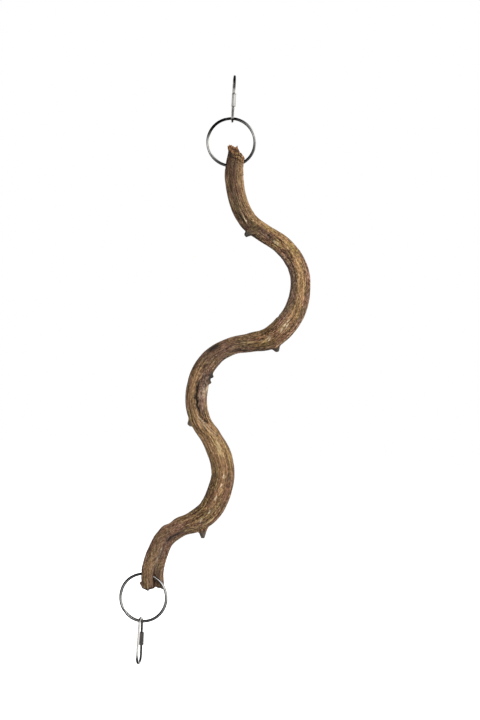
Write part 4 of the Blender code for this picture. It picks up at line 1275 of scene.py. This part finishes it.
def studio_world(scene):
    """Surroundings: white to the eye, soft even light on the object, a dim room in its mirrored surfaces.

    The room has pale panels to the right, to the left and near the camera, white behind the object, and a
    pale ground far in front of it.
    """
    world = bpy.data.worlds.new("studio")
    world.use_nodes = True
    scene.world = world
    world.node_tree.nodes.clear()
    nodes = Nodes(world.node_tree)
    path = nodes.add("ShaderNodeLightPath").outputs
    direction = nodes.add("ShaderNodeTexCoord").outputs["Generated"]
    parts = nodes.add("ShaderNodeSeparateXYZ", ((0, direction),)).outputs

    def patch(ranges):
        """Output of one patch of the room: its ranges multiplied together."""
        return nodes.chain("MULTIPLY", *(nodes.spread(parts[axis], *limits) for axis, *limits in ranges))

    panels = nodes.chain("MAXIMUM", patch(RIGHT_PANEL), patch(LEFT_PANEL), patch(NEAR_PANEL))
    dim = nodes.math("ADD", nodes.math("MULTIPLY", panels, PANEL_LEVEL), ROOM_LEVEL)
    room = nodes.chain("MAXIMUM", dim, patch(WHITE_BEHIND), patch(FRONT_GROUND))

    def light(color, strength):
        """Output of a background of one colour."""
        return nodes.add("ShaderNodeBackground", (("Color", color), ("Strength", strength))).outputs[0]

    def choose(share, first, second):
        """Output of one background or another."""
        return nodes.add("ShaderNodeMixShader", ((0, share), (1, first), (2, second))).outputs[0]

    seen = nodes.math("MAXIMUM", path["Is Camera Ray"], path["Is Transmission Ray"])
    shaded = choose(path["Is Glossy Ray"], light(SOFT_SKY, SKY_LEVEL), light(WHITE, room))
    nodes.add("ShaderNodeOutputWorld", (("Surface", choose(seen, shaded, light(WHITE, 1.0))),))


def pale_floor(scene):
    """Pale floor below the object, white to the eye, that keeps the object's shadow."""
    mesh = bpy.data.meshes.new("floor")
    sides = ((-1, -1), (1, -1), (1, 1), (-1, 1))
    corners = [(x * FLOOR_REACH, y * FLOOR_REACH, FLOOR_LEVEL) for x, y in sides]
    mesh.from_pydata(corners, [], [(0, 1, 2, 3)])
    floor = bpy.data.objects.new("floor", mesh)
    scene.collection.objects.link(floor)
    material, nodes, shader = new_material("pale_floor")
    path = nodes.add("ShaderNodeLightPath").outputs
    seen = nodes.chain("MAXIMUM", path["Is Camera Ray"], path["Is Glossy Ray"], path["Is Transmission Ray"])
    strength = nodes.math("MULTIPLY", seen, FLOOR_GLOW)
    glow = nodes.add("ShaderNodeEmission", (("Color", WHITE), ("Strength", strength)))
    paint = nodes.add("ShaderNodeBsdfDiffuse", (("Color", FLOOR_PAINT),))
    both = nodes.add("ShaderNodeAddShader", ((0, glow.outputs[0]), (1, paint.outputs[0])))
    nodes.fill(nodes.tree.nodes["Material Output"], (("Surface", both.outputs[0]),))
    nodes.tree.nodes.remove(shader)
    mesh.materials.append(material)
    floor.visible_glossy = False


def studio_lamps(scene, aim):
    """Soft square lamps turned to the object and left out of its mirrored surroundings."""
    for name, place, power in LAMPS:
        light = bpy.data.lights.new(name, "AREA")
        light.size = LAMP_SIZE
        light.energy = power
        lamp = bpy.data.objects.new(name, light)
        lamp.location = place
        lamp.rotation_euler = (aim - Vector(place)).to_track_quat("-Z", "Y").to_euler()
        lamp.visible_glossy = False
        scene.collection.objects.link(lamp)


def studio_camera(scene, aim):
    """Camera level with its aim, straight in front of it, and rolled."""
    optics = bpy.data.cameras.new("camera")
    optics.sensor_width = SENSOR_WIDTH
    optics.lens = LENS
    optics.clip_end = CAMERA_REACH
    roll = math.radians(CAMERA_ROLL)
    right = Vector((math.cos(roll), 0.0, math.sin(roll)))
    up = Vector((-math.sin(roll), 0.0, math.cos(roll)))
    back = Vector((0.0, -1.0, 0.0))
    camera = bpy.data.objects.new("camera", optics)
    turned = Matrix((right, up, back)).transposed().to_4x4()
    camera.matrix_world = Matrix.Translation(aim + CAMERA_DISTANCE * back) @ turned
    scene.collection.objects.link(camera)
    scene.camera = camera


def studio():
    """White surroundings, a pale floor, four soft lamps and the camera."""
    scene = bpy.context.scene
    scene.view_settings.view_transform = "Standard"
    aim = Vector(CAMERA_AIM)
    studio_world(scene)
    pale_floor(scene)
    studio_lamps(scene, aim)
    studio_camera(scene, aim)


ring_steel = plated_steel("ring_plate", RING_PLATE, roughness=0.07, stain=0.20)
link_steel = plated_steel("link_plate", LINK_PLATE, roughness=0.16, stain=0.30)
nut_steel = plated_steel("nut_plate", NUT_PLATE, roughness=0.20, stain=0.35)
# The lower nut's plate is a darkened copy of the nut plate: painted shade.
shaded_nut_steel = plated_steel("shaded_nut_plate", SHADED_NUT_PLATE, roughness=0.30, stain=0.45)

vine_stem(bark_material())
split_ring("upper_split_ring", "upper_ring", UPPER_SPLIT_ANGLE, UPPER_RING_PAINTED_REFLECTION, UPPER_REFLECTION_LEAN,
           UPPER_BACK, ring_steel)
split_ring("lower_split_ring", "lower_ring", LOWER_SPLIT_ANGLE, LOWER_RING_PAINTED_REFLECTION, LOWER_REFLECTION_LEAN,
           LOWER_BACK, ring_steel)
screw_link("upper_screw_link", "upper_link", "hang_point", 1.0, UPPER_LINK_PAINTED_REFLECTION, UPPER_BACK, link_steel)
screw_link("lower_screw_link", "lower_link", "toy_point", -1.0, LOWER_LINK_PAINTED_REFLECTION, LOWER_BACK, link_steel)
hexagon_nut("upper_hexagon_nut", "upper_link_nut", 1.0, UPPER_NUT_TWIST, UPPER_BACK, nut_steel)
hexagon_nut("lower_hexagon_nut", "lower_link_nut", -1.0, LOWER_NUT_TWIST, LOWER_BACK, shaded_nut_steel)
studio()
